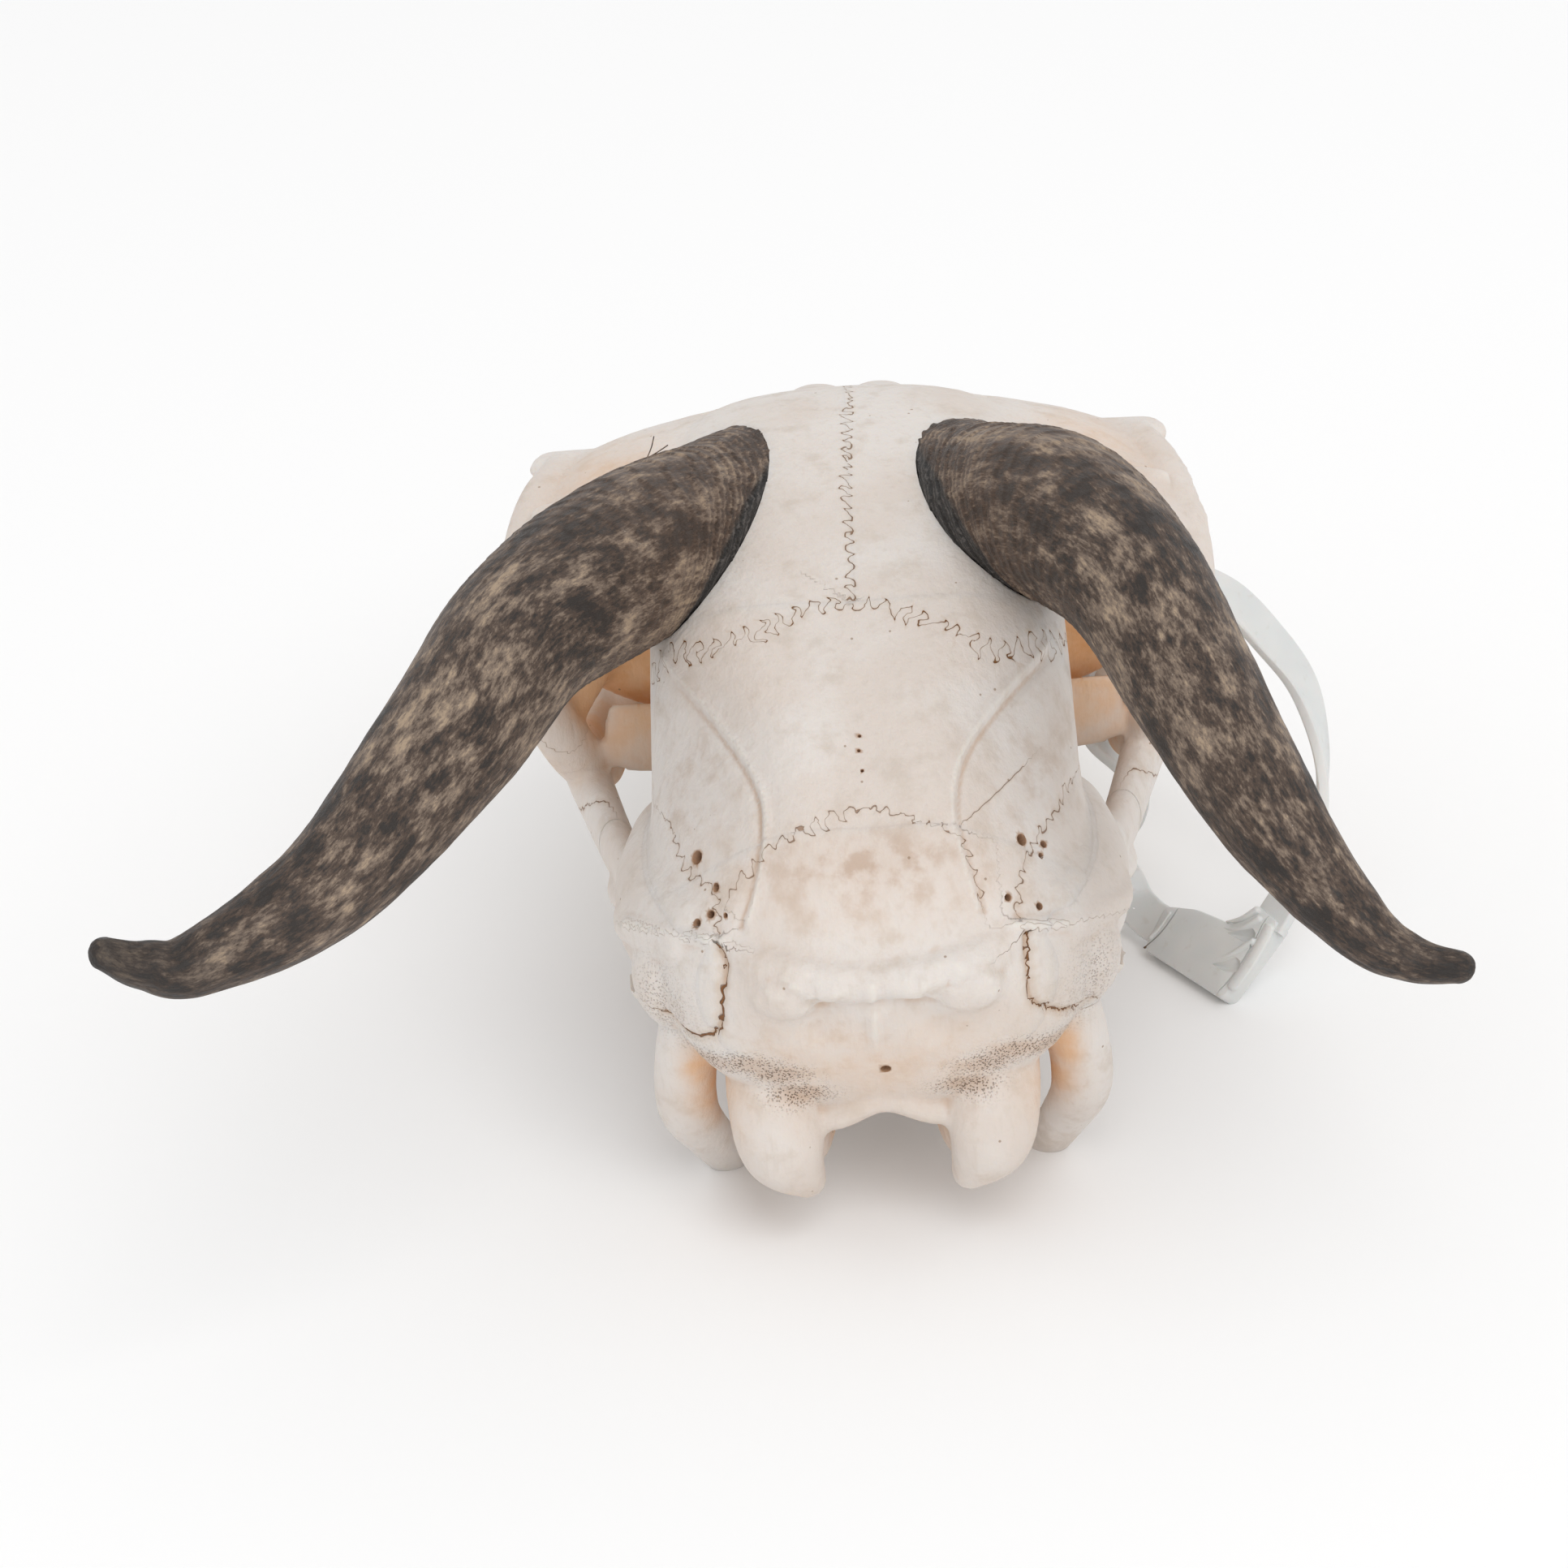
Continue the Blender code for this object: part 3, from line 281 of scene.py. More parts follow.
@dataclass(frozen=True)
class BoneFinish:
    """Dry, bleached cortical bone: chalky on the roof, creamier at the nape, with peach painted light glowing
    in the recesses, painted shade in hollows and small holes, and painted highlights on edges.
    """

    name: str = "dry cortical bone"
    chalk: str = "#dcd5cf"
    cream: str = "#d6cbc2"
    shade: str = "#c6b9ac"
    # peach and orange: painted warm glow in the recesses and beneath the skull, plus a warmer tone at the
    # nape
    peach_tone_and_glow: str = "#dfb184"
    orange_tone_and_glow: str = "#cf8d4c"
    stain: str = "#b99f8b"
    # painted shade for the hollows
    recess_shade: str = "#b98e63"
    # painted highlight for the edges and ridges
    edge: str = "#e2dcd4"
    # painted shade for the walls of the small holes
    pit_shade: str = "#9a6c40"
    spongy: str = "#ab8058"
    pore: str = "#805a3a"
    speck: str = "#8e7358"
    beside_seam: str = "#bfa283"
    seam: str = "#7d5228"
    crack: str = "#7d4f24"
    pores: float = 2.8
    specks: float = 0.22
    period: float = 1.3

    def build(self) -> bpy.types.Material:
        """Builds the bone's material from its painted attributes and from noise of real sizes.

        Returns:
            The material.
        """
        sheet = Sheet(self.name)
        warm_tone_and_glow, stain, porous, hollow, pit_shade = (sheet.attribute(name)
                                            for name in ("warm_tone_and_glow", "stain", "porous", "hollow", "pit_shade"))
        cloud = sheet.noise(22.0, 4.0)
        patch = sheet.noise(5.0, 5.0, rough=0.6)
        fibre = sheet.noise(1.1, 3.0, (1.0, 1.0, 0.16))
        grain = sheet.noise(0.45, 3.0)
        colour = sheet.coat(linear(self.chalk), self.cream, cloud, 0.38, 0.62)
        colour = sheet.coat(colour, self.shade, patch, 0.5, 0.72, top=0.55)
        colour = sheet.coat(colour, self.shade, fibre, 0.52, 0.75, top=0.25)
        # painted warm glow: peach and orange painted light in the eye sockets, fossae and beneath the skull,
        # with a warmer tone at the nape
        warm_tone_and_glow_share = sheet.times(warm_tone_and_glow, sheet.ramp(patch, 0.25, 0.65, 0.75, 1.1))
        colour = sheet.coat(colour, self.peach_tone_and_glow, warm_tone_and_glow_share, 0.05, 0.6, top=0.95)
        colour = sheet.coat(colour, self.orange_tone_and_glow, warm_tone_and_glow_share, 0.55, 1.0, top=0.85)
        stained = sheet.times(stain, sheet.ramp(patch, 0.42, 0.6, 0.15, 0.9))
        colour = sheet.blend(stained, colour, self.stain)
        # painted shade: the hollows are darkened where the hollowness is above zero
        colour = sheet.coat(colour, self.recess_shade, hollow, 0.02, 0.3, top=0.5)
        # painted highlight: the edges and ridges are lightened where the hollowness is below zero
        colour = sheet.coat(colour, self.edge, hollow, -0.05, -0.3, top=0.6)
        # painted shade: the small holes' walls are darkened brown
        colour = sheet.blend(sheet.times(pit_shade, 0.8), colour, self.pit_shade)
        pitted = sheet.times(sheet.ramp(sheet.cells(self.pores), 0.42, 0.12), porous)
        colour = sheet.coat(colour, self.spongy, porous, 0.15, 0.9, top=0.35)
        colour = sheet.blend(sheet.times(pitted, 0.8), colour, self.pore)
        colour = sheet.coat(colour, self.speck, sheet.cells(self.specks), 0.055, 0.035, top=0.7)
        line, halo = self._seams(sheet)
        wide = sheet.ramp(sheet.attribute("seam_width"), 0.15, 0.3)
        colour = sheet.blend(sheet.times(halo, 0.3), colour, self.beside_seam)
        colour = sheet.blend(line, colour, sheet.blend(wide, self.seam, self.crack))
        relief = sheet.relief((grain, 0.05), (fibre, 0.16), (patch, 0.25), (sheet.minus(0.0, pitted), 0.5),
                              (sheet.minus(0.0, line), 0.4))
        sheet.soften(0.12, 3.0, (1.0, 0.6, 0.35))
        return sheet.finish(colour, sheet.ramp(patch, 0.3, 0.7, 0.5, 0.68), relief)

    def _seams(self, sheet: Sheet) -> tuple[Socket, Socket]:
        """Draws the toothed seams between bones from the distances painted on the mesh.

        Args:
            sheet: the material's sheet.

        Returns:
            The mask of the open line and the mask of the stained bone beside it.
        """
        along, across, swing, width, strength = (
            sheet.attribute(f"seam_{name}") for name in ("along", "across", "swing", "width", "strength"))
        flat = sheet.add("ShaderNodeCombineXYZ", {"X": along, "Y": across, "Z": 0.0}).outputs["Vector"]
        lean = sheet.noise(3.2, 2.0, vector=flat)
        slow = sheet.noise(9.0, 1.0, vector=flat)
        bend = sheet.times(sheet.math("SINE", sheet.times(across, 1.9)), 0.32)
        shifted = sheet.plus(sheet.plus(along, bend), sheet.times(lean, 4.5))
        wave = sheet.math("SINE", sheet.times(shifted, math.pi / self.period))
        wave = sheet.times(wave, sheet.ramp(slow, 0.3, 0.7, 0.35, 1.3))
        wave = sheet.plus(wave, sheet.times(sheet.minus(slow, 0.5), 2.4))
        away = sheet.math("ABSOLUTE", sheet.minus(across, sheet.times(wave, swing)))
        near = sheet.math("DIVIDE", away, width)
        return (sheet.times(sheet.ramp(near, 1.0, 0.45), strength),
                sheet.times(sheet.ramp(near, 6.0, 0.5), strength))


@dataclass(frozen=True)
class HornFinish:
    """Weathered horn keratin: brown fibres streaked with ash and tan, ringed and black towards the rim."""

    name: str = "weathered horn keratin"
    pitch: str = "#191411"
    umber: str = "#46372d"
    ash: str = "#7b6b5d"
    tan: str = "#a8937c"
    brown: str = "#6b4f3a"
    soot: str = "#1d1a18"
    slate: str = "#5a5552"
    flake: str = "#b4a99d"
    period: float = 1.25
    flakes: float = 0.9

    def build(self) -> bpy.types.Material:
        """Builds the horn's material along the painted fibre coordinates.

        Returns:
            The material.
        """
        sheet = Sheet(self.name)
        fibre = sheet.attribute("fibre", "Vector")
        along = sheet.attribute("horn_along")
        blotch = sheet.noise(6.0, 6.0, (1.0, 1.0, 0.5), fibre, 0.7)
        streak = sheet.noise(0.9, 5.0, (1.0, 1.0, 0.35), fibre, 0.7)
        hair = sheet.noise(0.35, 3.0, (1.0, 1.0, 0.2), fibre, 0.65)
        ring = self._rings(sheet, along, blotch)
        level = sheet.plus(sheet.times(blotch, 1.8), sheet.times(streak, 0.9))
        level = sheet.plus(sheet.plus(level, sheet.times(hair, 0.4)), ring)
        colour = sheet.coat(linear(self.pitch), self.umber, level, 1.36, 1.54)
        colour = sheet.coat(colour, self.ash, level, 1.52, 1.72)
        colour = sheet.coat(colour, self.tan, level, 1.68, 1.9)
        colour = sheet.coat(colour, self.brown, along, 60.0, 12.0, 0.05, 0.25)
        colour = sheet.coat(colour, self.pitch, along, 118.0, 150.0, top=0.75)
        black = sheet.coat(linear(self.soot), self.slate, sheet.plus(streak, ring), 0.48, 0.72)
        reach = sheet.plus(sheet.times(sheet.attribute("skirt"), 18.0), sheet.times(blotch, 5.0))
        colour = sheet.coat(colour, black, sheet.minus(along, reach), 1.0, -1.5)
        flake = sheet.times(sheet.ramp(sheet.cells(self.flakes, fibre), 0.1, 0.05),
                            sheet.ramp(blotch, 0.5, 0.62))
        colour = sheet.blend(sheet.times(flake, 0.7), colour, self.flake)
        relief = sheet.relief((blotch, 0.35), (ring, 1.2), (streak, 0.3), (hair, 0.1))
        return sheet.finish(colour, sheet.ramp(streak, 0.3, 0.7, 0.42, 0.7), relief)

    def _rings(self, sheet: Sheet, along: Socket, blotch: Socket) -> Socket:
        """Adds the fine growth rings above the rim, wavering with the blotches and fading out.

        Args:
            sheet: the material's sheet.
            along: distance above the rim in millimetres.
            blotch: noise that makes the rings waver.

        Returns:
            A value from -0.1 to 0.1.
        """
        phase = sheet.plus(sheet.times(along, 2.0 * math.pi / self.period), sheet.times(blotch, 24.0))
        return sheet.times(sheet.math("SINE", phase), sheet.ramp(along, 34.0, 6.0, 0.0, 0.1))


@dataclass(frozen=True)
class EnamelFinish:
    """Ivory tooth enamel with dark tartar towards the root and painted shade in the hollows between the
    lobes.
    """

    name: str = "tooth enamel"
    ivory: str = "#e4d9c3"
    worn: str = "#c9b593"
    tartar: str = "#5c4630"
    # painted shade for the hollows between the lobes
    cleft_shade: str = "#3c2d20"

    def build(self) -> bpy.types.Material:
        """Builds the enamel's material, darker with height on the crown.

        Returns:
            The material.
        """
        sheet = Sheet(self.name)
        height = sheet.add("ShaderNodeSeparateXYZ", {0: sheet.millimetres}).outputs["Z"]
        patch = sheet.noise(2.2, 4.0)
        line = sheet.noise(0.5, 2.0, (1.0, 1.0, 0.2))
        colour = sheet.coat(linear(self.ivory), self.worn, patch, 0.35, 0.65)
        tartar = sheet.times(sheet.ramp(height, 3.0, 10.0), sheet.ramp(patch, 0.4, 0.6, 0.3, 1.0))
        colour = sheet.blend(sheet.times(tartar, 0.75), colour, self.tartar)
        # painted shade: the hollows between the lobes are darkened
        colour = sheet.coat(colour, self.cleft_shade, sheet.attribute("hollow"), 0.02, 0.25, top=0.8)
        relief = sheet.relief((line, 0.12), (patch, 0.15))
        return sheet.finish(colour, sheet.ramp(patch, 0.3, 0.7, 0.25, 0.5), relief)


@dataclass(frozen=True)
class PlasticFinish:
    """Semi-matt light grey moulded plastic, a little scuffed."""

    name: str = "light grey moulded plastic"
    base: str = "#d2d4d3"
    worn: str = "#dbdbd8"
    grime: str = "#c0bab0"

    def build(self) -> bpy.types.Material:
        """Builds the plastic's material.

        Returns:
            The material.
        """
        sheet = Sheet(self.name)
        scuff = sheet.noise(0.6, 3.0, (1.0, 0.25, 1.0))
        colour = sheet.coat(linear(self.base), self.worn, sheet.noise(14.0, 2.0), 0.4, 0.65)
        colour = sheet.coat(colour, self.grime, sheet.noise(1.6, 4.0), 0.58, 0.75, top=0.3)
        sheet.soften(0.1, 2.0)
        return sheet.finish(colour, sheet.ramp(scuff, 0.3, 0.7, 0.32, 0.45), sheet.relief((scuff, 0.02)))


@dataclass(frozen=True)
class MottledFinish:
    """A dull material that wanders between two colours, such as hair or the painted shade in the tag's seam.
    """

    name: str
    dark: str
    light: str
    size: float
    detail: float
    roughness: float
    height: float

    def build(self) -> bpy.types.Material:
        """Builds the material from one noise.

        Returns:
            The material.
        """
        sheet = Sheet(self.name)
        tone = sheet.noise(self.size, self.detail)
        colour = sheet.coat(linear(self.dark), self.light, tone, 0.35, 0.65)
        return sheet.finish(colour, self.roughness, sheet.relief((tone, self.height)))


# painted shade: a dark brown mottle for the strand laid in the tag lock's seam groove
SEAM_SHADE = MottledFinish("painted shade in the tag's seam", "#4c3d30", "#75614e", 0.3, 3.0, 0.95, 0.1)
HAIR = MottledFinish("dark hair", "#3b2d24", "#6b5543", 0.8, 2.0, 0.5, 0.01)


# Mesh tools

def unit(vector: Row) -> np.ndarray:
    """Returns the vector at length one."""
    values = np.asarray(vector, float)
    return values / np.linalg.norm(values)


def spline(keys: Rows, steps: int, closed: bool = False) -> np.ndarray:
    """Rows on a Catmull-Rom curve through key rows.

    Args:
        keys: the rows that the curve passes.
        steps: rows made from one key to the next.
        closed: whether the last key joins the first.

    Returns:
        One row for each step.
    """
    points = np.asarray(keys, float)
    count = len(points)
    rows = []
    for index in range(count if closed else count - 1):
        if closed:
            before, start, end, after = (points[(index + shift) % count] for shift in (-1, 0, 1, 2))
        else:
            before, start = points[max(index - 1, 0)], points[index]
            end, after = points[index + 1], points[min(index + 2, count - 1)]
        for step in range(steps):
            t = step / steps
            square = (2 * before - 5 * start + 4 * end - after) * t**2
            cube = (3 * start - before - 3 * end + after) * t**3
            rows.append(0.5 * (2 * start + (end - before) * t + square + cube))
    if not closed:
        rows.append(points[-1])
    return np.array(rows)


def new_object(name: str, mesh_data: bmesh.types.BMesh) -> bpy.types.Object:
    """Makes an object from a bmesh, with its faces turned outwards.

    Args:
        name: the object's name.
        mesh_data: the bmesh, which is freed.

    Returns:
        The object.
    """
    bmesh.ops.recalc_face_normals(mesh_data, faces=mesh_data.faces)
    mesh = bpy.data.meshes.new(name)
    mesh_data.to_mesh(mesh)
    mesh_data.free()
    made = bpy.data.objects.new(name, mesh)
    bpy.context.scene.collection.objects.link(made)
    return made


def loft(name: str, rings: Iterable[Rows]) -> bpy.types.Object:
    """Makes a closed body over rings with the same number of points.

    Args:
        name: the object's name.
        rings: points in the skull's frame.

    Returns:
        The object, in metres in the part's frame.
    """
    mesh_data = bmesh.new()
    loops = [[mesh_data.verts.new(Vector(np.asarray(point) + PLACE) * MM) for point in ring]
             for ring in rings]
    count = len(loops[0])
    for first, second in zip(loops, loops[1:]):
        for index in range(count):
            after = (index + 1) % count
            mesh_data.faces.new((first[index], first[after], second[after], second[index]))
    mesh_data.faces.new(loops[0])
    mesh_data.faces.new(loops[-1])
    bmesh.ops.triangulate(mesh_data, faces=[face for face in mesh_data.faces if len(face.verts) > 4])
    return new_object(name, mesh_data)


def ellipsoid(name: str, centre: Row, radii: Row) -> bpy.types.Object:
    """Makes a closed ellipsoid with its radii along the axes.

    Args:
        name: the object's name.
        centre: its centre.
        radii: its three radii.

    Returns:
        The ellipsoid.
    """
    mesh_data = bmesh.new()
    place = Matrix.Translation(Vector(np.asarray(centre) + PLACE) * MM)
    bmesh.ops.create_icosphere(mesh_data, subdivisions=4, radius=1.0,
                               matrix=place @ Matrix.Diagonal((*[radius * MM for radius in radii], 1.0)))
    return new_object(name, mesh_data)


def heading_at(rows: np.ndarray, index: int) -> np.ndarray:
    """Returns a curve's direction at one of its rows, from the rows before and after it."""
    return unit(rows[min(index + 1, len(rows) - 1), :3] - rows[max(index - 1, 0), :3])


def oval_tube(name: str, keys: Rows, guide: Row, steps: int = 6, sides: int = 20) -> bpy.types.Object:
    """Makes a closed oval tube with rounded ends.

    Args:
        name: the object's name.
        keys: x, y, z, half-size across the guide, half-size along it.
        guide: the direction that the second half-size lies along.
        steps: rings from one key to the next.
        sides: points in a ring.

    Returns:
        The tube.
    """
    rows = spline(keys, steps)
    guide = unit(guide)
    angles = [2 * math.pi * side / sides for side in range(sides)]
    rings = []
    for index, row in enumerate(rows):
        ahead = heading_at(rows, index)
        across = unit(np.cross(guide, ahead))
        along = np.cross(ahead, across)
        ends = [(0.0, 1.0)]
        if index == 0:
            ends = [(-0.8, 0.4), (-0.6, 0.66), (-0.3, 0.9), (0.0, 1.0)]
        if index == len(rows) - 1:
            ends = [(0.0, 1.0), (0.3, 0.9), (0.6, 0.66), (0.8, 0.4)]
        for shift, scale in ends:
            centre = row[:3] + ahead * shift * min(row[3], row[4])
            rings.append([centre + across * row[3] * scale * math.cos(angle)
                          + along * row[4] * scale * math.sin(angle) for angle in angles])
    return loft(name, rings)


def prism(name: str, outline: Rows, low: float, high: float) -> bpy.types.Object:
    """Makes a closed prism from an outline seen from the side, from low to high across the skull.

    Args:
        name: the object's name.
        outline: y and z pairs.
        low: where it starts across the skull.
        high: where it ends.

    Returns:
        The prism.
    """
    return loft(name, [[(along, y, z) for y, z in outline] for along in (low, high)])


def floor_cutter() -> bpy.types.Object:
    """Makes the block that cuts a body level at the floor."""
    return prism("floor", [(-150.0, -20.0), (150.0, -20.0), (150.0, 0.0), (-150.0, 0.0)], -90.0, 90.0)


def replace_mesh(item: bpy.types.Object) -> None:
    """Applies the object's modifiers to its mesh.

    Args:
        item: the object.
    """
    graph = bpy.context.evaluated_depsgraph_get()
    old = item.data
    item.data = bpy.data.meshes.new_from_object(item.evaluated_get(graph))
    item.modifiers.clear()
    bpy.data.meshes.remove(old)


def combine(item: bpy.types.Object, members: Sequence[bpy.types.Object], operation: str,
            solver: str = "MANIFOLD") -> None:
    """Joins the members to the item, or cuts them from it, and removes them.

    Args:
        item: the object that changes.
        members: what is joined, cut away or kept, and then removed.
        operation: UNION, DIFFERENCE or INTERSECT.
        solver: how the boolean is solved.
    """
    group = bpy.data.collections.new("operands")
    bpy.context.scene.collection.children.link(group)
    for member in members:
        bpy.context.scene.collection.objects.unlink(member)
        group.objects.link(member)
    change = item.modifiers.new("combine", "BOOLEAN")
    change.operation = operation
    change.operand_type = "COLLECTION"
    change.collection = group
    change.solver = solver
    replace_mesh(item)
    for member in members:
        bpy.data.objects.remove(member, do_unlink=True)
    bpy.data.collections.remove(group)


def points_of(mesh: bpy.types.Mesh) -> np.ndarray:
    """Returns the mesh's points in millimetres in the skull's frame.

    Args:
        mesh: the mesh.

    Returns:
        One row a point.
    """
    values = np.empty(len(mesh.vertices) * 3, np.float32)
    mesh.vertices.foreach_get("co", values)
    return values.reshape(-1, 3).astype(float) / MM - PLACE


def normals_of(mesh: bpy.types.Mesh) -> np.ndarray:
    """Returns the mesh's point normals.

    Args:
        mesh: the mesh.

    Returns:
        One row a point.
    """
    values = np.empty(len(mesh.vertices) * 3, np.float32)
    mesh.vertex_normals.foreach_get("vector", values)
    return values.reshape(-1, 3).astype(float)


def move_points(mesh: bpy.types.Mesh, points: np.ndarray) -> None:
    """Writes points given in millimetres in the skull's frame to the mesh."""
    mesh.vertices.foreach_set("co", ((points + PLACE) * MM).astype(np.float32).ravel())
    mesh.update()


def paint(mesh: bpy.types.Mesh, name: str, values: np.ndarray, kind: str = "FLOAT") -> None:
    """Stores one value, or one vector, for each point of the mesh."""
    made = mesh.attributes.get(name) or mesh.attributes.new(name, kind, "POINT")
    made.data.foreach_set("vector" if kind == "FLOAT_VECTOR" else "value", values.astype(np.float32).ravel())


def edges_of(mesh: bpy.types.Mesh) -> np.ndarray:
    """Returns the numbers of each edge's two points.

    Args:
        mesh: the mesh.

    Returns:
        One row an edge.
    """
    ends = np.empty(len(mesh.edges) * 2, np.int32)
    mesh.edges.foreach_get("vertices", ends)
    return ends.reshape(-1, 2)


def neighbours_mean(mesh: bpy.types.Mesh, values: np.ndarray) -> np.ndarray:
    """Averages the values of each point's neighbours along the edges.

    Args:
        mesh: the mesh.
        values: one row a point.

    Returns:
        One row a point.
    """
    ends = edges_of(mesh)
    count = np.bincount(ends.ravel(), minlength=len(values)).astype(float)
    total = np.stack([np.bincount(ends[:, 0], values[ends[:, 1], axis], len(values))
                      + np.bincount(ends[:, 1], values[ends[:, 0], axis], len(values))
                      for axis in range(values.shape[1])], axis=1)
    return total / np.maximum(count, 1.0)[:, None]


def hollowness(mesh: bpy.types.Mesh, rounds: int) -> np.ndarray:
    """Measures how far each point lies below the mean of what is round it, in millimetres.

    Args:
        mesh: the mesh.
        rounds: how many steps out the mean reaches.

    Returns:
        One value a point, above zero in hollows and below zero on edges.
    """
    points = points_of(mesh)
    mean = points
    for _ in range(rounds):
        mean = neighbours_mean(mesh, mean)
    return np.sum((mean - points) * normals_of(mesh), axis=1)


def keep_largest(item: bpy.types.Object) -> None:
    """Leaves the largest connected surface of the object.

    Args:
        item: the object.
    """
    mesh = item.data
    ends = edges_of(mesh)
    label = np.arange(len(mesh.vertices))
    while True:
        before = label.copy()
        low = np.minimum(label[ends[:, 0]], label[ends[:, 1]])
        np.minimum.at(label, ends[:, 0], low)
        np.minimum.at(label, ends[:, 1], low)
        label = label[label]
        if np.array_equal(before, label):
            break
    sizes = np.bincount(label)
    if np.count_nonzero(sizes) == 1:
        return
    drop = set(np.flatnonzero(label != sizes.argmax()).tolist())
    mesh_data = bmesh.new()
    mesh_data.from_mesh(mesh)
    mesh_data.verts.ensure_lookup_table()
    bmesh.ops.delete(mesh_data, geom=[mesh_data.verts[index] for index in drop], context="VERTS")
    mesh_data.to_mesh(mesh)
    mesh_data.free()


def near_line(points: np.ndarray, line: np.ndarray) -> tuple[np.ndarray, np.ndarray, np.ndarray]:
    """Finds each point's nearest place on a line.

    Args:
        points: one row a point.
        line: the line's corners.

    Returns:
        The vector from the nearest place, the length along the line, and the line's direction there.
    """
    best = np.full(len(points), np.inf)
    away = np.zeros_like(points)
    along = np.zeros(len(points))
    heading = np.zeros_like(points)
    done = 0.0
    for start, end in zip(line, line[1:]):
        span = end - start
        length = float(np.linalg.norm(span))
        share = np.clip((points - start) @ span / length**2, 0.0, 1.0)
        gap = points - (start + share[:, None] * span)
        distance = np.einsum("ij,ij->i", gap, gap)
        closer = distance < best
        best[closer] = distance[closer]
        away[closer] = gap[closer]
        along[closer] = done + share[closer] * length
        heading[closer] = span / length
        done += length
    return away, along, heading


def show(item: bpy.types.Object, material: bpy.types.Material, nodes: Sequence[str],
         sharp: float = 55.0) -> None:
    """Gives a finished piece its material and shading and tells the frame what it stands for.

    Args:
        item: the piece.
        material: its finish.
        nodes: the solids that it stands for.
        sharp: the angle above which an edge stays sharp.
    """
    item.data.materials.clear()
    item.data.materials.append(material)
    item.data.shade_smooth()
    item.data.set_sharp_from_angle(angle=math.radians(sharp))
    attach(item, "root")
    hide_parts(*nodes)
    LOG.info("%s: %d faces", item.name, len(item.data.polygons))


# What lies on the bone

class Tint(Enum):
    """What a painted patch does to the bone's colour."""

    # painted warm glow of light in the recesses and beneath the skull, with a warmer tone at the nape
    WARM_TONE_AND_GLOW = "warm_tone_and_glow"
    STAIN = "stain"
    POROUS = "porous"
    ROUGH = "rough"


@dataclass(frozen=True)
class Patch:
    """A soft oval patch of tint."""

    tint: Tint
    centre: Row
    radii: Row
    amount: float


@dataclass(frozen=True)
class Relief:
    """A ridge or a groove along a line on the bone: height in millimetres and half-width."""

    points: Rows
    height: float
    width: float


@dataclass(frozen=True)
class Seam:
    """A seam between two bones: how far its teeth swing, the open line's half-width, and its strength."""

    points: Rows
    swing: float
    width: float
    strength: float


@dataclass(frozen=True)
class Hole:
    """A small hole for a vessel or a nerve: where it opens, its radius and its depth."""

    mouth: Row
    radius: float
    depth: float


def each(kind: type, lines: Sequence[Rows], *values: float) -> list[Any]:
    """Makes a relief or a seam of the same sizes along each line."""
    return [kind(line, *values) for line in lines]


def both(*points: Row) -> list[Rows]:
    """Returns the right side's line and its mirror image."""
    return [points, [(-point[0], *point[1:]) for point in points]]


def twice(tint: Tint, centre: Row, radii: Row, amount: float) -> list[Patch]:
    """Makes a patch on the right side and its mirror image."""
    return [Patch(tint, (side * centre[0], *centre[1:]), radii, amount) for side in SIDES.values()]


TEMPORAL = (
    ((26.4, -62.4, 79.2), (18.4, -73.4, 76.0), (13.3, -81.8, 72.8), (11.7, -87.8, 68.0),
     (12.7, -92.1, 62.9), (14.4, -95.5, 56.6)),
    ((-27.5, -60.5, 79.8), (-25.5, -64.1, 78.7), (-18.4, -75.0, 74.4), (-14.4, -83.4, 70.5),
     (-14.0, -88.5, 66.0), (-15.4, -92.7, 60.3), (-17.2, -94.8, 55.9)),
)
SQUAMOUS = (
    ((29.5, -60.0, 60.5), (28.5, -73.0, 61.8), (27.6, -75.6, 61.4), (23.7, -84.1, 60.5),
     (20.8, -90.7, 58.1), (20.1, -94.7, 53.9)),
    ((-29.0, -60.0, 59.5), (-27.9, -75.9, 60.7), (-27.4, -78.0, 59.9), (-25.2, -84.5, 58.2),
     (-21.8, -89.9, 57.8), (-21.5, -93.8, 53.6)),
)
MASTOID = (
    ((30.6, -87.4, 34.8), (25.8, -93.5, 37.6), (21.7, -97.0, 41.4), (21.1, -97.3, 46.2), (21.1, -95.5, 51.7)),
    ((-30.1, -88.6, 37.7), (-26.7, -91.8, 36.5), (-22.5, -96.1, 39.4), (-21.1, -96.7, 48.7),
     (-21.6, -94.4, 52.6)),
)
CREST = (
    ((19.4, -95.7, 53.2), (27.5, -90.6, 50.3), (35.0, -80.0, 46.5)),
    ((-21.0, -94.8, 52.8), (-27.9, -89.6, 51.5), (-34.5, -82.0, 48.8)),
)

RELIEFS: tuple[Relief, ...] = (
    *each(Relief, TEMPORAL, 0.5, 0.6),
    *each(Relief, [[(x * 1.07, y, z - 0.9) for x, y, z in line] for line in TEMPORAL], -0.45, 0.7),
    *each(Relief, CREST, 1.1, 0.9), *each(Relief, MASTOID, -0.8, 0.7), *each(Relief, SQUAMOUS, -0.35, 1.0),
    Relief(((-0.7, -103.0, 49.0), (-0.7, -102.6, 45.0), (-0.6, -98.0, 36.2)), 0.8, 0.9),
    Relief(((4.4, -103.1, 48.9), (9.6, -101.8, 51.1), (14.5, -101.4, 48.5)), 0.4, 2.6),
    Relief(((-5.6, -103.0, 49.6), (-12.1, -100.5, 51.8), (-17.3, -99.5, 48.9)), 0.4, 2.6),
    Relief(((5.5, -101.0, 44.8), (7.5, -99.5, 41.0)), -1.3, 2.8),
    Relief(((-7.5, -101.0, 44.8), (-9.0, -99.5, 41.0)), -1.3, 2.8),
)

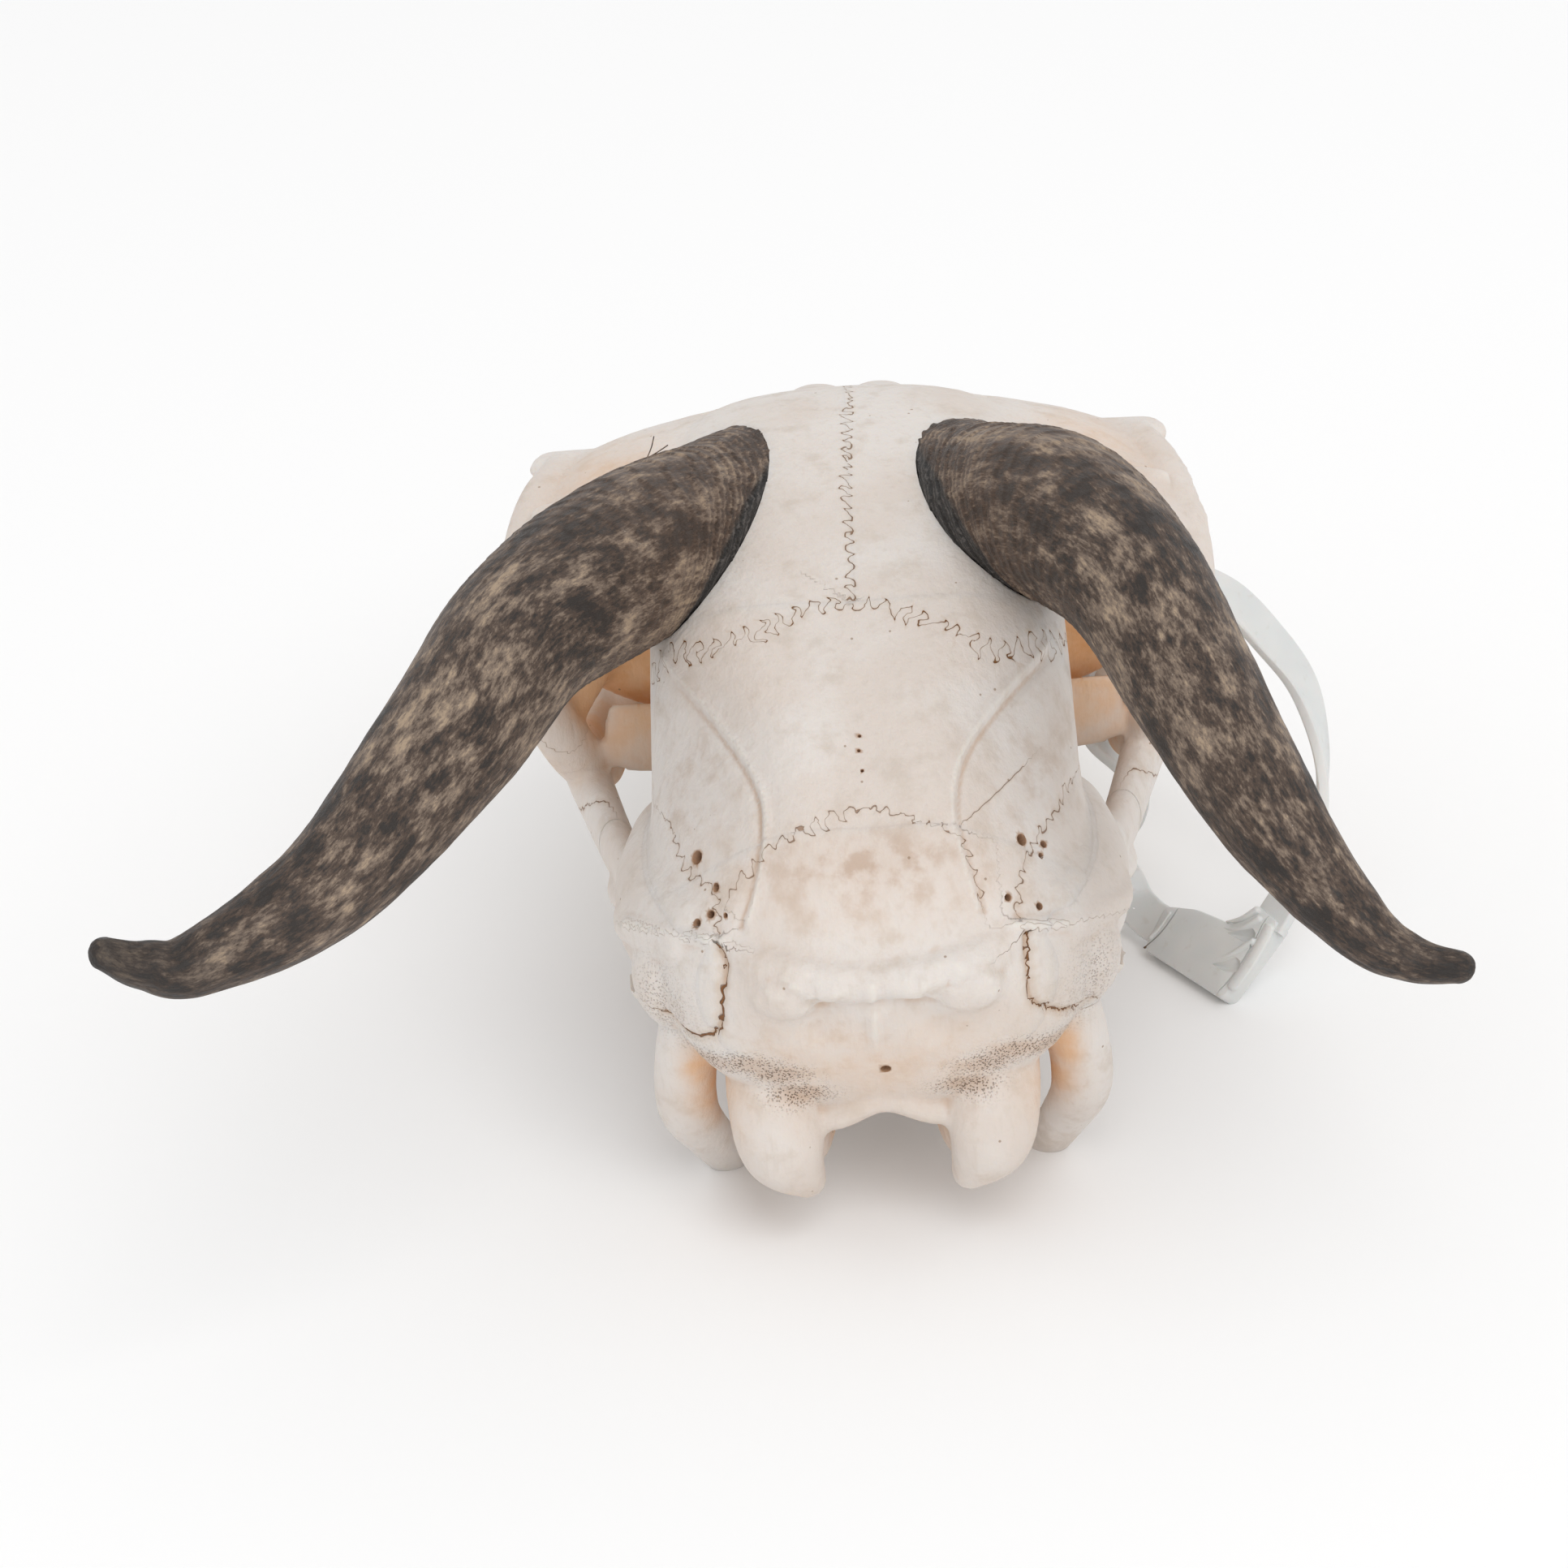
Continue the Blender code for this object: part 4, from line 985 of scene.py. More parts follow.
SEAMS: tuple[Seam, ...] = (
    Seam(((0.0, 30.0, 77.0), (0.6, -7.0, 94.9), (-0.3, -38.2, 94.1), (-0.4, -50.4, 91.0),
          (-0.6, -61.2, 86.7)),
         0.85, 0.13, 0.8),
    Seam(((-29.5, -58.0, 76.0), (-26.1, -61.1, 80.9), (-20.1, -65.2, 83.0), (-13.1, -64.4, 85.3),
          (-6.1, -61.6, 86.7), (-0.6, -61.2, 86.7), (5.3, -62.6, 86.2), (12.5, -66.1, 84.5),
          (19.7, -67.5, 81.3), (25.0, -63.2, 80.3), (29.6, -55.0, 75.6)), 1.75, 0.15, 1.0),
    Seam(((-19.5, -91.9, 58.2), (-17.7, -91.0, 60.8), (-14.2, -90.5, 64.2), (-9.0, -89.6, 66.8),
          (-3.5, -88.6, 68.6), (1.0, -88.4, 68.9), (6.8, -89.4, 67.0), (12.4, -90.6, 64.6),
          (15.1, -95.3, 56.6)), 0.9, 0.1, 0.7),
    *each(Seam, SQUAMOUS, 0.7, 0.12, 0.75), *each(Seam, MASTOID, 0.3, 0.3, 1.0),
    *each(Seam, CREST, 0.3, 0.1, 0.5),
    Seam(((13.6, -88.5, 66.3), (17.8, -83.8, 67.3), (22.1, -77.6, 68.1)), 0.06, 0.08, 0.6),
    *each(Seam, both((46.8, -33.5, 52.6), (44.5, -30.2, 52.3), (41.1, -22.0, 53.3)), 0.12, 0.2, 0.9),
    *each(Seam, both((46.0, -29.0, 38.0), (42.8, -34.9, 41.8), (39.0, -40.0, 46.0)), 0.2, 0.18, 0.8),
    *each(Seam, both((9.5, 60.0, 61.0), (10.5, 45.0, 67.0), (9.5, 33.0, 74.0), (2.0, 27.0, 78.5)), 0.4,
          0.18, 0.7),
    *each(Seam, both((38.0, 4.0, 71.0), (27.0, 14.0, 71.5), (18.0, 26.0, 71.0)), 0.3, 0.18, 0.7),
    *each(Seam, both((20.0, 32.0, 63.0), (28.0, 26.0, 48.0), (35.0, 18.0, 42.0)), 0.3, 0.18, 0.7),
    *each(Seam, both((35.0, 18.0, 42.0), (34.5, 20.0, 34.0), (30.0, 22.0, 25.0)), 0.3, 0.18, 0.7),
    *each(Seam, both((12.0, 68.0, 56.0), (13.0, 78.0, 38.0), (11.0, 88.0, 22.0)), 0.3, 0.18, 0.7),
)

HOLES: tuple[Hole, ...] = tuple(Hole(row[:3], row[3], row[4]) for row in (
    (-24.0, -84.0, 60.2, 0.95, 3.0), (-21.6, -89.4, 58.4, 0.6, 2.5), (-22.4, -91.6, 55.4, 0.55, 2.5),
    (-24.3, -91.1, 53.7, 0.6, 2.5), (-20.3, -93.0, 55.9, 0.35, 1.5), (21.1, -86.3, 61.3, 0.8, 3.0),
    (24.3, -84.5, 59.4, 0.5, 2.0), (23.6, -86.1, 58.4, 0.4, 2.0), (18.7, -93.6, 56.5, 0.5, 2.0),
    (23.0, -92.3, 54.0, 0.5, 2.0), (-0.4, -79.6, 75.6, 0.22, 1.0), (-0.6, -81.4, 74.3, 0.22, 1.0),
    (-0.3, -83.7, 72.3, 0.22, 1.0), (0.5, -96.4, 32.7, 0.7, 2.5), (20.0, 4.0, 89.0, 0.5, 1.5),
    (-20.0, 4.0, 89.0, 0.5, 1.5),
))

PATCHES: tuple[Patch, ...] = (
    # warm patches: painted warm glow in the eye sockets, the fossae behind them, inside the nose and beneath
    # the skull, and a warmer tone at the nape
    *twice(Tint.WARM_TONE_AND_GLOW, (33.0, -16.0, 62.0), (13.0, 17.0, 22.0), 1.15),
    *twice(Tint.WARM_TONE_AND_GLOW, (43.0, -26.0, 58.0), (8.0, 8.0, 13.0), 0.75),
    *twice(Tint.WARM_TONE_AND_GLOW, (35.0, -24.0, 36.0), (7.0, 15.0, 9.0), 0.6),
    *twice(Tint.WARM_TONE_AND_GLOW, (20.0, -82.0, 22.0), (8.0, 12.0, 9.0), 0.65),
    Patch(Tint.WARM_TONE_AND_GLOW, (0.0, -84.0, 16.0), (10.0, 12.0, 9.0), 0.6),
    Patch(Tint.WARM_TONE_AND_GLOW, (0.0, -98.0, 34.0), (30.0, 10.0, 15.0), 0.24),
    Patch(Tint.WARM_TONE_AND_GLOW, (0.0, -92.0, 58.0), (34.0, 14.0, 12.0), 0.2),
    Patch(Tint.WARM_TONE_AND_GLOW, (0.0, 80.0, 28.0), (8.0, 26.0, 9.0), 0.9),
    Patch(Tint.WARM_TONE_AND_GLOW, (0.0, 20.0, 20.0), (18.0, 55.0, 6.0), 0.45),
    *twice(Tint.WARM_TONE_AND_GLOW, (30.0, -25.0, 52.0), (9.0, 6.0, 7.0), 1.2),
    *twice(Tint.WARM_TONE_AND_GLOW, (13.5, -90.0, 14.0), (4.0, 6.0, 7.0), 0.5),
    *twice(Tint.WARM_TONE_AND_GLOW, (25.5, -88.0, 27.0), (4.0, 6.0, 7.0), 0.5),
    *twice(Tint.ROUGH, (10.5, -101.5, 48.5), (8.0, 5.0, 4.0), 1.0),
    *twice(Tint.ROUGH, (29.0, -86.5, 40.0), (6.0, 6.0, 7.0), 0.35),
    *twice(Tint.ROUGH, (18.0, -92.5, 32.0), (9.0, 6.0, 3.5), 0.4),
    Patch(Tint.ROUGH, (0.0, -99.0, 40.0), (16.0, 8.0, 8.0), 0.2),
    Patch(Tint.ROUGH, (52.0, -16.0, 81.0), (3.0, 14.0, 5.0), 0.7),
    Patch(Tint.STAIN, (0.0, -93.0, 62.5), (14.5, 8.0, 5.0), 0.75),
    *twice(Tint.STAIN, (24.0, -72.0, 66.0), (8.0, 20.0, 10.0), 0.35),
    *(patch for centre in ((23.5, -92.0, 32.6), (18.5, -95.5, 33.2), (14.5, -95.5, 31.4), (11.5, -93.5, 27.5))
      for patch in twice(Tint.POROUS, centre, (4.2, 6.0, 1.9), 1.1)),
    *twice(Tint.POROUS, (28.0, -88.0, 40.0), (8.0, 6.0, 7.0), 0.35),
)


@dataclass
class SurfaceDetail:
    """The ridges, seams, tints and holes of the bone, put on a mesh point by point."""

    reliefs: Sequence[Relief] = RELIEFS
    seams: Sequence[Seam] = SEAMS
    patches: Sequence[Patch] = PATCHES
    holes: Sequence[Hole] = HOLES
    reach: float = 7.0
    seam_gap: float = 50.0

    def sculpt(self, mesh: bpy.types.Mesh) -> None:
        """Raises the ridges and sinks the grooves.

        Args:
            mesh: the bone's mesh.
        """
        points = points_of(mesh)
        normals = normals_of(mesh)
        height = np.zeros(len(points))
        for relief in self.reliefs:
            line = spline(relief.points, 4)
            near = self._near(points, line, 4.0 * relief.width)
            away, _, _ = near_line(points[near], line)
            distance = np.linalg.norm(away, axis=1)
            height[near] += relief.height * np.exp(-(distance / relief.width) ** 2)
        move_points(mesh, points + normals * height[:, None])

    def amount(self, points: np.ndarray, tint: Tint) -> np.ndarray:
        """Measures how much of a tint lies on each point.

        Args:
            points: one row a point.
            tint: the tint.

        Returns:
            One value a point, 0 where no patch of the tint reaches.
        """
        total = np.zeros(len(points))
        for patch in self.patches:
            if patch.tint is tint:
                distance = np.sum(((points - np.asarray(patch.centre)) / np.asarray(patch.radii)) ** 2,
                                  axis=1)
                total = np.maximum(total, patch.amount * np.exp(-distance))
        return total

    def colour(self, mesh: bpy.types.Mesh) -> None:
        """Paints the tints and the seams' distances on a finished piece.

        Args:
            mesh: the bone's mesh.
        """
        points = points_of(mesh)
        normals = normals_of(mesh)
        for tint in Tint:
            paint(mesh, tint.value, self.amount(points, tint))
        fields = {name: np.zeros(len(points)) for name in ("along", "across", "swing", "width", "strength")}
        fields["width"] += 0.1
        best = np.full(len(points), np.inf)
        start = 0.0
        for seam in self.seams:
            line = spline(seam.points, 5)
            near = np.flatnonzero(self._near(points, line, self.reach))
            start += self.seam_gap
            if not len(near):
                continue
            away, along, heading = near_line(points[near], line)
            distance = np.linalg.norm(away, axis=1)
            side = np.sign(np.einsum("ij,ij->i", np.cross(heading, normals[near]), away))
            closer = (distance < best[near]) & (distance < self.reach)
            chosen = near[closer]
            best[chosen] = distance[closer]
            fade = np.clip((self.reach - distance[closer]) / (0.5 * self.reach), 0.0, 1.0)
            fields["along"][chosen] = along[closer] + start
            fields["across"][chosen] = distance[closer] * side[closer]
            fields["swing"][chosen] = seam.swing
            fields["width"][chosen] = seam.width
            fields["strength"][chosen] = seam.strength * fade
        for name, values in fields.items():
            paint(mesh, "seam_" + name, values)

    @staticmethod
    def _near(points: np.ndarray, line: np.ndarray, reach: float) -> np.ndarray:
        """Marks the points inside the line's box, made larger by the reach.

        Args:
            points: one row a point.
            line: the line's corners.
            reach: how much larger the box is.

        Returns:
            For each point whether it lies inside.
        """
        low = line.min(axis=0) - reach
        high = line.max(axis=0) + reach
        return np.all((points > low) & (points < high), axis=1)

    def hole_axes(self, body: bpy.types.Object) -> list[tuple[np.ndarray, np.ndarray, Hole]]:
        """Finds where each small hole opens on the bone and which way it goes in.

        Args:
            body: the bone that the holes go into.

        Returns:
            For each hole its mouth, its inward direction and its sizes.
        """
        axes = []
        for hole in self.holes:
            target = Vector(np.asarray(hole.mouth) + PLACE) * MM
            found, place, normal, _ = body.closest_point_on_mesh(target)
            if found:
                axes.append((np.array(place) / MM - PLACE, -np.array(normal), hole))
        return axes

    @staticmethod
    def hole_cutters(axes: Sequence[tuple[np.ndarray, np.ndarray, Hole]]) -> list[bpy.types.Object]:
        """Makes a tapered cutter for each small hole, square to the bone's surface.

        Args:
            axes: for each hole its mouth, its inward direction and its sizes.

        Returns:
            The cutters.
        """
        cutters = []
        for mouth, inward, hole in axes:
            rows = [(*(mouth - inward * 0.8), hole.radius * 1.5, hole.radius * 1.5),
                    (*mouth, hole.radius * 1.1, hole.radius * 1.1),
                    (*(mouth + inward * hole.depth), hole.radius * 0.7, hole.radius * 0.7)]
            guide = (1.0, 0.0, 0.0) if abs(inward[0]) < 0.8 else (0.0, 1.0, 0.0)
            cutters.append(oval_tube("hole", rows, guide, 2, 10))
        return cutters

    def paint_pit_shade(self, mesh: bpy.types.Mesh, axes: Sequence[tuple[np.ndarray, np.ndarray, Hole]]) -> None:
        """Paints a mask of painted shade on the walls of the small holes, after they are cut.

        Args:
            mesh: the bone's mesh.
            axes: for each hole its mouth, its inward direction and its sizes.
        """
        points = points_of(mesh)
        pit_shade = np.zeros(len(points))
        for mouth, inward, hole in axes:
            line = np.array([mouth, mouth + inward * hole.depth])
            near = np.flatnonzero(self._near(points, line, 3.0 * hole.radius + 1.0))
            away, _, _ = near_line(points[near], line)
            pit_shade[near[np.linalg.norm(away, axis=1) < 1.15 * hole.radius]] = 1.0
        paint(mesh, "pit_shade", pit_shade)


# Geometry trees

@dataclass
class Growth(Maker):
    """A geometry tree in the making, with its named inputs."""

    sizes: dict[str, float]
    given: Any = field(init=False)

    def __post_init__(self) -> None:
        """Makes the tree with its named inputs, sizes in millimetres, and its one output."""
        self.tree = bpy.data.node_groups.new(self.name, "GeometryNodeTree")
        face = self.tree.interface
        face.new_socket("Geometry", in_out="INPUT", socket_type="NodeSocketGeometry")
        for name, value in self.sizes.items():
            face.new_socket(name, in_out="INPUT", socket_type="NodeSocketFloat").default_value = value
        face.new_socket("Material", in_out="INPUT", socket_type="NodeSocketMaterial")
        face.new_socket("Geometry", in_out="OUTPUT", socket_type="NodeSocketGeometry")
        self.given = self.add("NodeGroupInput").outputs

    def noise(self, vector: Socket, size: Any, stretch: Row = EVEN, detail: float = 2.0) -> Socket:
        """Adds noise round zero, shifted by the seed.

        Args:
            vector: coordinates in millimetres.
            size: the features' size in millimetres.
            stretch: factors on the three coordinates.
            detail: octaves.

        Returns:
            The noise's value, about -0.2 to 0.2.
        """
        inputs = {"Vector": self.stretched(vector, stretch), "W": self.given["Seed"],
                  "Scale": self.math("DIVIDE", 1.0, size), "Detail": detail}
        return self.minus(self.add("ShaderNodeTexNoise", inputs, noise_dimensions="4D").outputs[0], 0.5)

    def attribute(self, name: str, kind: str = "FLOAT") -> Socket:
        """Reads a painted attribute."""
        return self.add("GeometryNodeInputNamedAttribute", {"Name": name}, data_type=kind).outputs[0]

    def raised(self, height: Socket) -> bpy.types.NodeTree:
        """Moves the surface along its normals by a height in millimetres and closes the tree.

        Args:
            height: the height at each point.

        Returns:
            The finished tree.
        """
        shift = self.scaled(self.add("GeometryNodeInputNormal").outputs[0], self.times(height, MM))
        moved = self.add("GeometryNodeSetPosition", {"Geometry": self.given["Geometry"], "Offset": shift})
        real = self.add("GeometryNodeRealizeInstances", {"Geometry": moved.outputs[0]})
        dressed = self.add("GeometryNodeSetMaterial",
                           {"Geometry": real.outputs[0], "Material": self.given["Material"]})
        self.add("NodeGroupOutput", {"Geometry": dressed.outputs[0]})
        return self.tree


def bone_tree() -> bpy.types.NodeTree:
    """Builds the tree that makes the nape lumpy where muscles held on, and the rest a little uneven.

    Returns:
        The geometry tree.
    """
    growth = Growth("bone_relief", {"Lump size": 3.0, "Lump height": 1.0, "Grain size": 1.0,
                                    "Grain height": 0.5,
                                    "Wear height": 0.2, "Seed": 1.0})
    given = growth.given
    place = growth.scaled(growth.add("GeometryNodeInputPosition").outputs[0], 1.0 / MM)
    lumps = growth.times(growth.noise(place, given["Lump size"], detail=1.0), given["Lump height"])
    grain = growth.times(growth.noise(place, given["Grain size"]), given["Grain height"])
    wear = growth.times(growth.noise(place, 9.0), given["Wear height"])
    return growth.raised(growth.plus(growth.times(growth.plus(lumps, grain), growth.attribute("rough")),
                                     wear))


def horn_tree() -> bpy.types.NodeTree:
    """Builds the tree that raises growth rings and fibres on a horn sheath and frays its rim.

    Returns:
        The geometry tree.
    """
    growth = Growth("horn_relief", {"Ring spacing": 5.0, "Ring height": 0.3, "Ring reach": 60.0,
                                    "Fibre height": 0.2,
                                    "Lump height": 0.5, "Rim fray": 0.6, "Seed": 1.0})
    plus, times, noise, given = growth.plus, growth.times, growth.noise, growth.given
    along = growth.attribute("horn_along")
    fibre = growth.attribute("fibre", "FLOAT_VECTOR")
    turn = growth.math("DIVIDE", plus(along, times(noise(fibre, 14.0), 9.0)), given["Ring spacing"])
    saw = growth.math("POWER", growth.math("FRACT", turn), 1.6)
    fade = growth.minus(1.0, growth.math("DIVIDE", along, given["Ring reach"]))
    fade = growth.add("ShaderNodeClamp", {"Value": fade}).outputs[0]
    rings = times(times(saw, fade), given["Ring height"])
    fibres = times(noise(fibre, 1.3, (1.0, 1.0, 0.12)), given["Fibre height"])
    lumps = times(noise(fibre, 9.0, (1.0, 1.0, 0.45), 3.0), given["Lump height"])
    near_rim = growth.add("ShaderNodeMapRange", {"Value": along, "From Min": 4.0, "From Max": 0.0}).outputs[0]
    fray = times(times(noise(fibre, 1.6, (1.0, 1.0, 0.4), 3.0), given["Rim fray"]), near_rim)
    return growth.raised(plus(plus(rings, fibres), plus(lumps, times(fray, 2.0))))


def apply_tree(item: bpy.types.Object, tree: bpy.types.NodeTree, values: dict[str, Any]) -> None:
    """Runs a geometry tree on the object and keeps the result as a plain mesh.

    Args:
        item: the object.
        tree: the tree.
        values: for each named input, its value.
    """
    change = item.modifiers.new("tree", "NODES")
    change.node_group = tree
    sockets = {socket.name: socket.identifier for socket in tree.interface.items_tree
               if socket.item_type == "SOCKET" and socket.in_out == "INPUT"}
    for name, value in values.items():
        change[sockets[name]] = value
    replace_mesh(item)


# The bones

@dataclass
class Cranium:
    """The skull's bones: one fused and sculpted body, parted along the same lines as the solids."""

    voxel: float = 0.65
    smoothing: int = 5
    orbit_centre: Row = (44.3, -10.0, 60.5)
    orbit_normal: Row = (1.0, 0.325, -0.17)
    orbit_radius: float = 22.0
    orbit_wall: Row = (2.8, 0.7, 0.6)
    orbit_depth: Row = (3.2, 0.8, 0.8)
    brow_corner: float = 2.2
    top_tuck: float = 1.6
    rear_tuck: float = 2.6
    cheek_tuck: float = 2.4
    nasion: float = 31.0
    bregma: float = -61.0
    outer: float = 70.0
    sections: Rows = (
        (-101.5, 50.5, 8.0, 1.0, 14.0, 47.0, 9.0, 44.5, 44.0),
        (-97.5, 57.0, 10.0, 1.5, 21.0, 46.5, 17.0, 36.0, 32.0),
        (-93.0, 63.5, 13.0, 1.5, 27.0, 47.0, 22.0, 30.0, 22.5),
        (-86.0, 70.5, 13.5, 1.5, 30.5, 48.0, 24.0, 28.5, 19.0),
        (-74.0, 79.5, 16.5, 2.0, 31.5, 53.0, 24.0, 29.0, 20.5),
        (-61.0, 86.8, 24.5, 3.0, 30.5, 57.0, 21.0, 31.0, 22.0),
        (-47.0, 92.2, 27.0, 4.5, 28.0, 61.0, 17.0, 34.0, 25.0),
        (-33.0, 95.0, 27.0, 5.5, 25.0, 62.0, 13.0, 36.0, 28.0),
        (-18.0, 96.0, 26.0, 6.0, 22.0, 60.0, 12.0, 37.0, 30.0),
        (-4.0, 94.3, 25.0, 6.5, 21.0, 58.0, 14.0, 35.0, 28.0),
        (11.0, 87.6, 22.5, 6.0, 21.5, 56.0, 20.0, 33.0, 24.0),
        (25.0, 79.8, 17.0, 5.0, 25.5, 51.0, 26.0, 29.0, 21.0),
        (41.0, 72.0, 13.0, 4.0, 25.5, 46.0, 25.0, 25.0, 19.0),
        (58.0, 64.5, 10.5, 3.5, 21.5, 42.0, 20.5, 21.0, 17.0),
        (74.0, 58.2, 9.0, 3.0, 16.0, 38.0, 14.0, 17.0, 14.0),
        (87.0, 53.0, 7.5, 2.5, 12.5, 34.0, 11.5, 14.0, 12.0),
    )
    detail: SurfaceDetail = field(default_factory=SurfaceDetail)

    def core(self) -> bpy.types.Object:
        """Builds braincase and face as one body over cross-sections.

        Returns:
            The body.
        """
        rings = []
        for y, roof, line_x, drop, side_x, side_z, low_x, low_z, base in spline(self.sections, 8):
            half = [(0.0, roof), (line_x, roof - drop), (side_x, side_z), (low_x, low_z), (0.0, base)]
            outline = half + [(-x, z) for x, z in reversed(half[1:-1])]
            rings.append([(x, y, z) for x, z in spline(outline, 8, closed=True)])
        return loft("core", rings)

    def roof_height(self, y: float) -> float:
        """Returns the height of the core's roof at a place along the skull."""
        rows = spline(self.sections, 8)
        return float(np.interp(y, rows[:, 0], rows[:, 1]))

    def orbit_rim(self, side: float) -> list[bpy.types.Object]:
        """Builds the ring of bone round one eye socket as two arcs that overlap.

        Args:
            side: 1 for the skull's right, -1 for its left.

        Returns:
            The upper and the lower arc.
        """
        centre = np.array(self.orbit_centre) * (side, 1.0, 1.0)
        normal = unit(np.array(self.orbit_normal) * (side, 1.0, 1.0))
        upward = unit(np.array(UPRIGHT) - normal * normal[2])
        forward = unit(np.cross(upward, normal))
        forward = forward if forward[1] > 0 else -forward
        turns, sides = 80, 20
        wall, depth = self.orbit_wall, self.orbit_depth
        rings = []
        for turn in range(turns + 1):
            angle = 2 * math.pi * turn / turns
            radial = forward * math.cos(angle) + upward * math.sin(angle)
            behind = max(0.0, -math.cos(angle))
            above = max(0.0, math.sin(angle))
            below = max(0.0, -math.sin(angle))
            diagonal = max(0.0, math.sin(2 * angle))
            corner = diagonal**2 if angle < math.pi else 0.0
            cheek = diagonal if angle > math.pi else 0.0
            thick = wall[0] + wall[1] * behind + wall[2] * below
            deep = depth[0] + depth[1] * behind + depth[2] * below
            middle = centre + radial * (self.orbit_radius + 0.5 * below + self.brow_corner * corner)
            tuck = self.rear_tuck * behind + self.cheek_tuck * cheek + self.top_tuck * above**4
            middle = middle - normal * tuck
            rings.append([middle + radial * thick * math.cos(2 * math.pi * step / sides)
                          + normal * deep * math.sin(2 * math.pi * step / sides) for step in range(sides)])
        half = turns // 2 + 4
        return [loft("rim_upper", rings[:half]), loft("rim_lower", rings[half - 6:])]

    @staticmethod
    def tube(name: str, side: float, guide: Row, *keys: Row) -> bpy.types.Object:
        """Builds an oval tube given for the right side, on the given side."""
        return oval_tube(name, [(key[0] * side, *key[1:]) for key in keys], guide)

    def rear_forms(self, side: float) -> list[bpy.types.Object]:
        """Builds the temporal shelf, ear, condyle, jugular process and pterygoid of one side.

        Args:
            side: 1 for the skull's right, -1 for its left.

        Returns:
            The forms.
        """
        return [
            ellipsoid("temporal_shelf", (29.8 * side, -66.0, 41.5), (7.2, 17.0, 6.5)),
            ellipsoid("joint_shelf", (31.0 * side, -54.0, 38.5), (8.2, 8.0, 4.0)),
            ellipsoid("mastoid", (28.8 * side, -82.5, 41.0), (6.0, 6.5, 8.5)),
            ellipsoid("bulla", (17.6 * side, -60.0, 15.5), (5.0, 10.0, 9.5)),
            self.tube("squamous_slope", side, (0.62 * side, 0.0, -0.78), (30.0, -58.0, 51.5, 3.4, 6.5),
                      (31.5, -68.0, 51.0, 3.6, 7.5), (30.5, -79.0, 50.5, 3.4, 7.0),
                      (25.5, -89.0, 51.5, 3.0, 5.5)),
            ellipsoid("nuchal_knob", (11.5 * side, -99.5, 46.5), (6.0, 3.2, 4.0)),
            ellipsoid("condyle_front", (12.0 * side, -84.0, 15.5), (5.0, 9.0, 5.4)),
            self.tube("ear_tube", side, UPRIGHT, (20.0, -66.0, 27.0, 5.0, 5.0), (27.5, -69.0, 31.0, 4.7, 4.7),
                      (33.0, -70.7, 33.4, 4.2, 4.2)),
            self.tube("nuchal_crest", side, UPRIGHT, (35.0, -74.0, 46.5, 2.0, 2.2),
                      (34.5, -80.0, 47.0, 2.0, 2.3), (29.0, -87.0, 49.5, 2.0, 2.4),
                      (21.5, -92.5, 51.0, 2.2, 2.6), (14.0, -98.0, 49.5, 3.0, 3.4),
                      (7.0, -100.5, 48.5, 3.0, 3.4), (0.0, -101.0, 49.0, 2.4, 2.6)),
            self.tube("condyle", side, (0.0, 1.0, -0.4), (17.0, -83.0, 29.0, 5.4, 5.0),
                      (15.8, -90.0, 24.0, 6.6, 6.0), (14.6, -93.5, 17.0, 6.2, 5.2),
                      (11.6, -92.0, 10.8, 2.9, 3.2)),
            self.tube("jugular_process", side, (0.0, 1.0, 0.35), (25.5, -83.0, 36.0, 5.2, 5.0),
                      (28.0, -83.0, 27.0, 4.6, 3.8), (28.5, -80.0, 16.5, 4.5, 3.4),
                      (25.8, -74.0, 7.0, 3.8, 3.0), (22.8, -68.0, -2.0, 2.8, 2.4)),
            self.tube("basal_bridge", side, UPRIGHT, (12.0, -74.0, 20.0, 6.0, 5.0),
                      (16.0, -68.0, 22.0, 6.0, 6.0), (17.0, -60.0, 24.0, 6.0, 6.0)),
            self.tube("pterygoid", side, UPRIGHT, (13.5, 4.0, 22.0, 3.2, 9.0), (12.0, -8.0, 24.0, 2.8, 9.0),
                      (10.5, -22.0, 24.0, 2.6, 8.5), (8.5, -36.0, 26.5, 2.8, 5.5)),
            self.tube("hamulus", side, (1.0, 0.0, 0.0), (11.0, -21.0, 18.0, 2.2, 2.8),
                      (11.6, -26.0, 15.5, 2.0, 2.2), (12.2, -31.0, 14.5, 1.7, 1.7)),
        ]

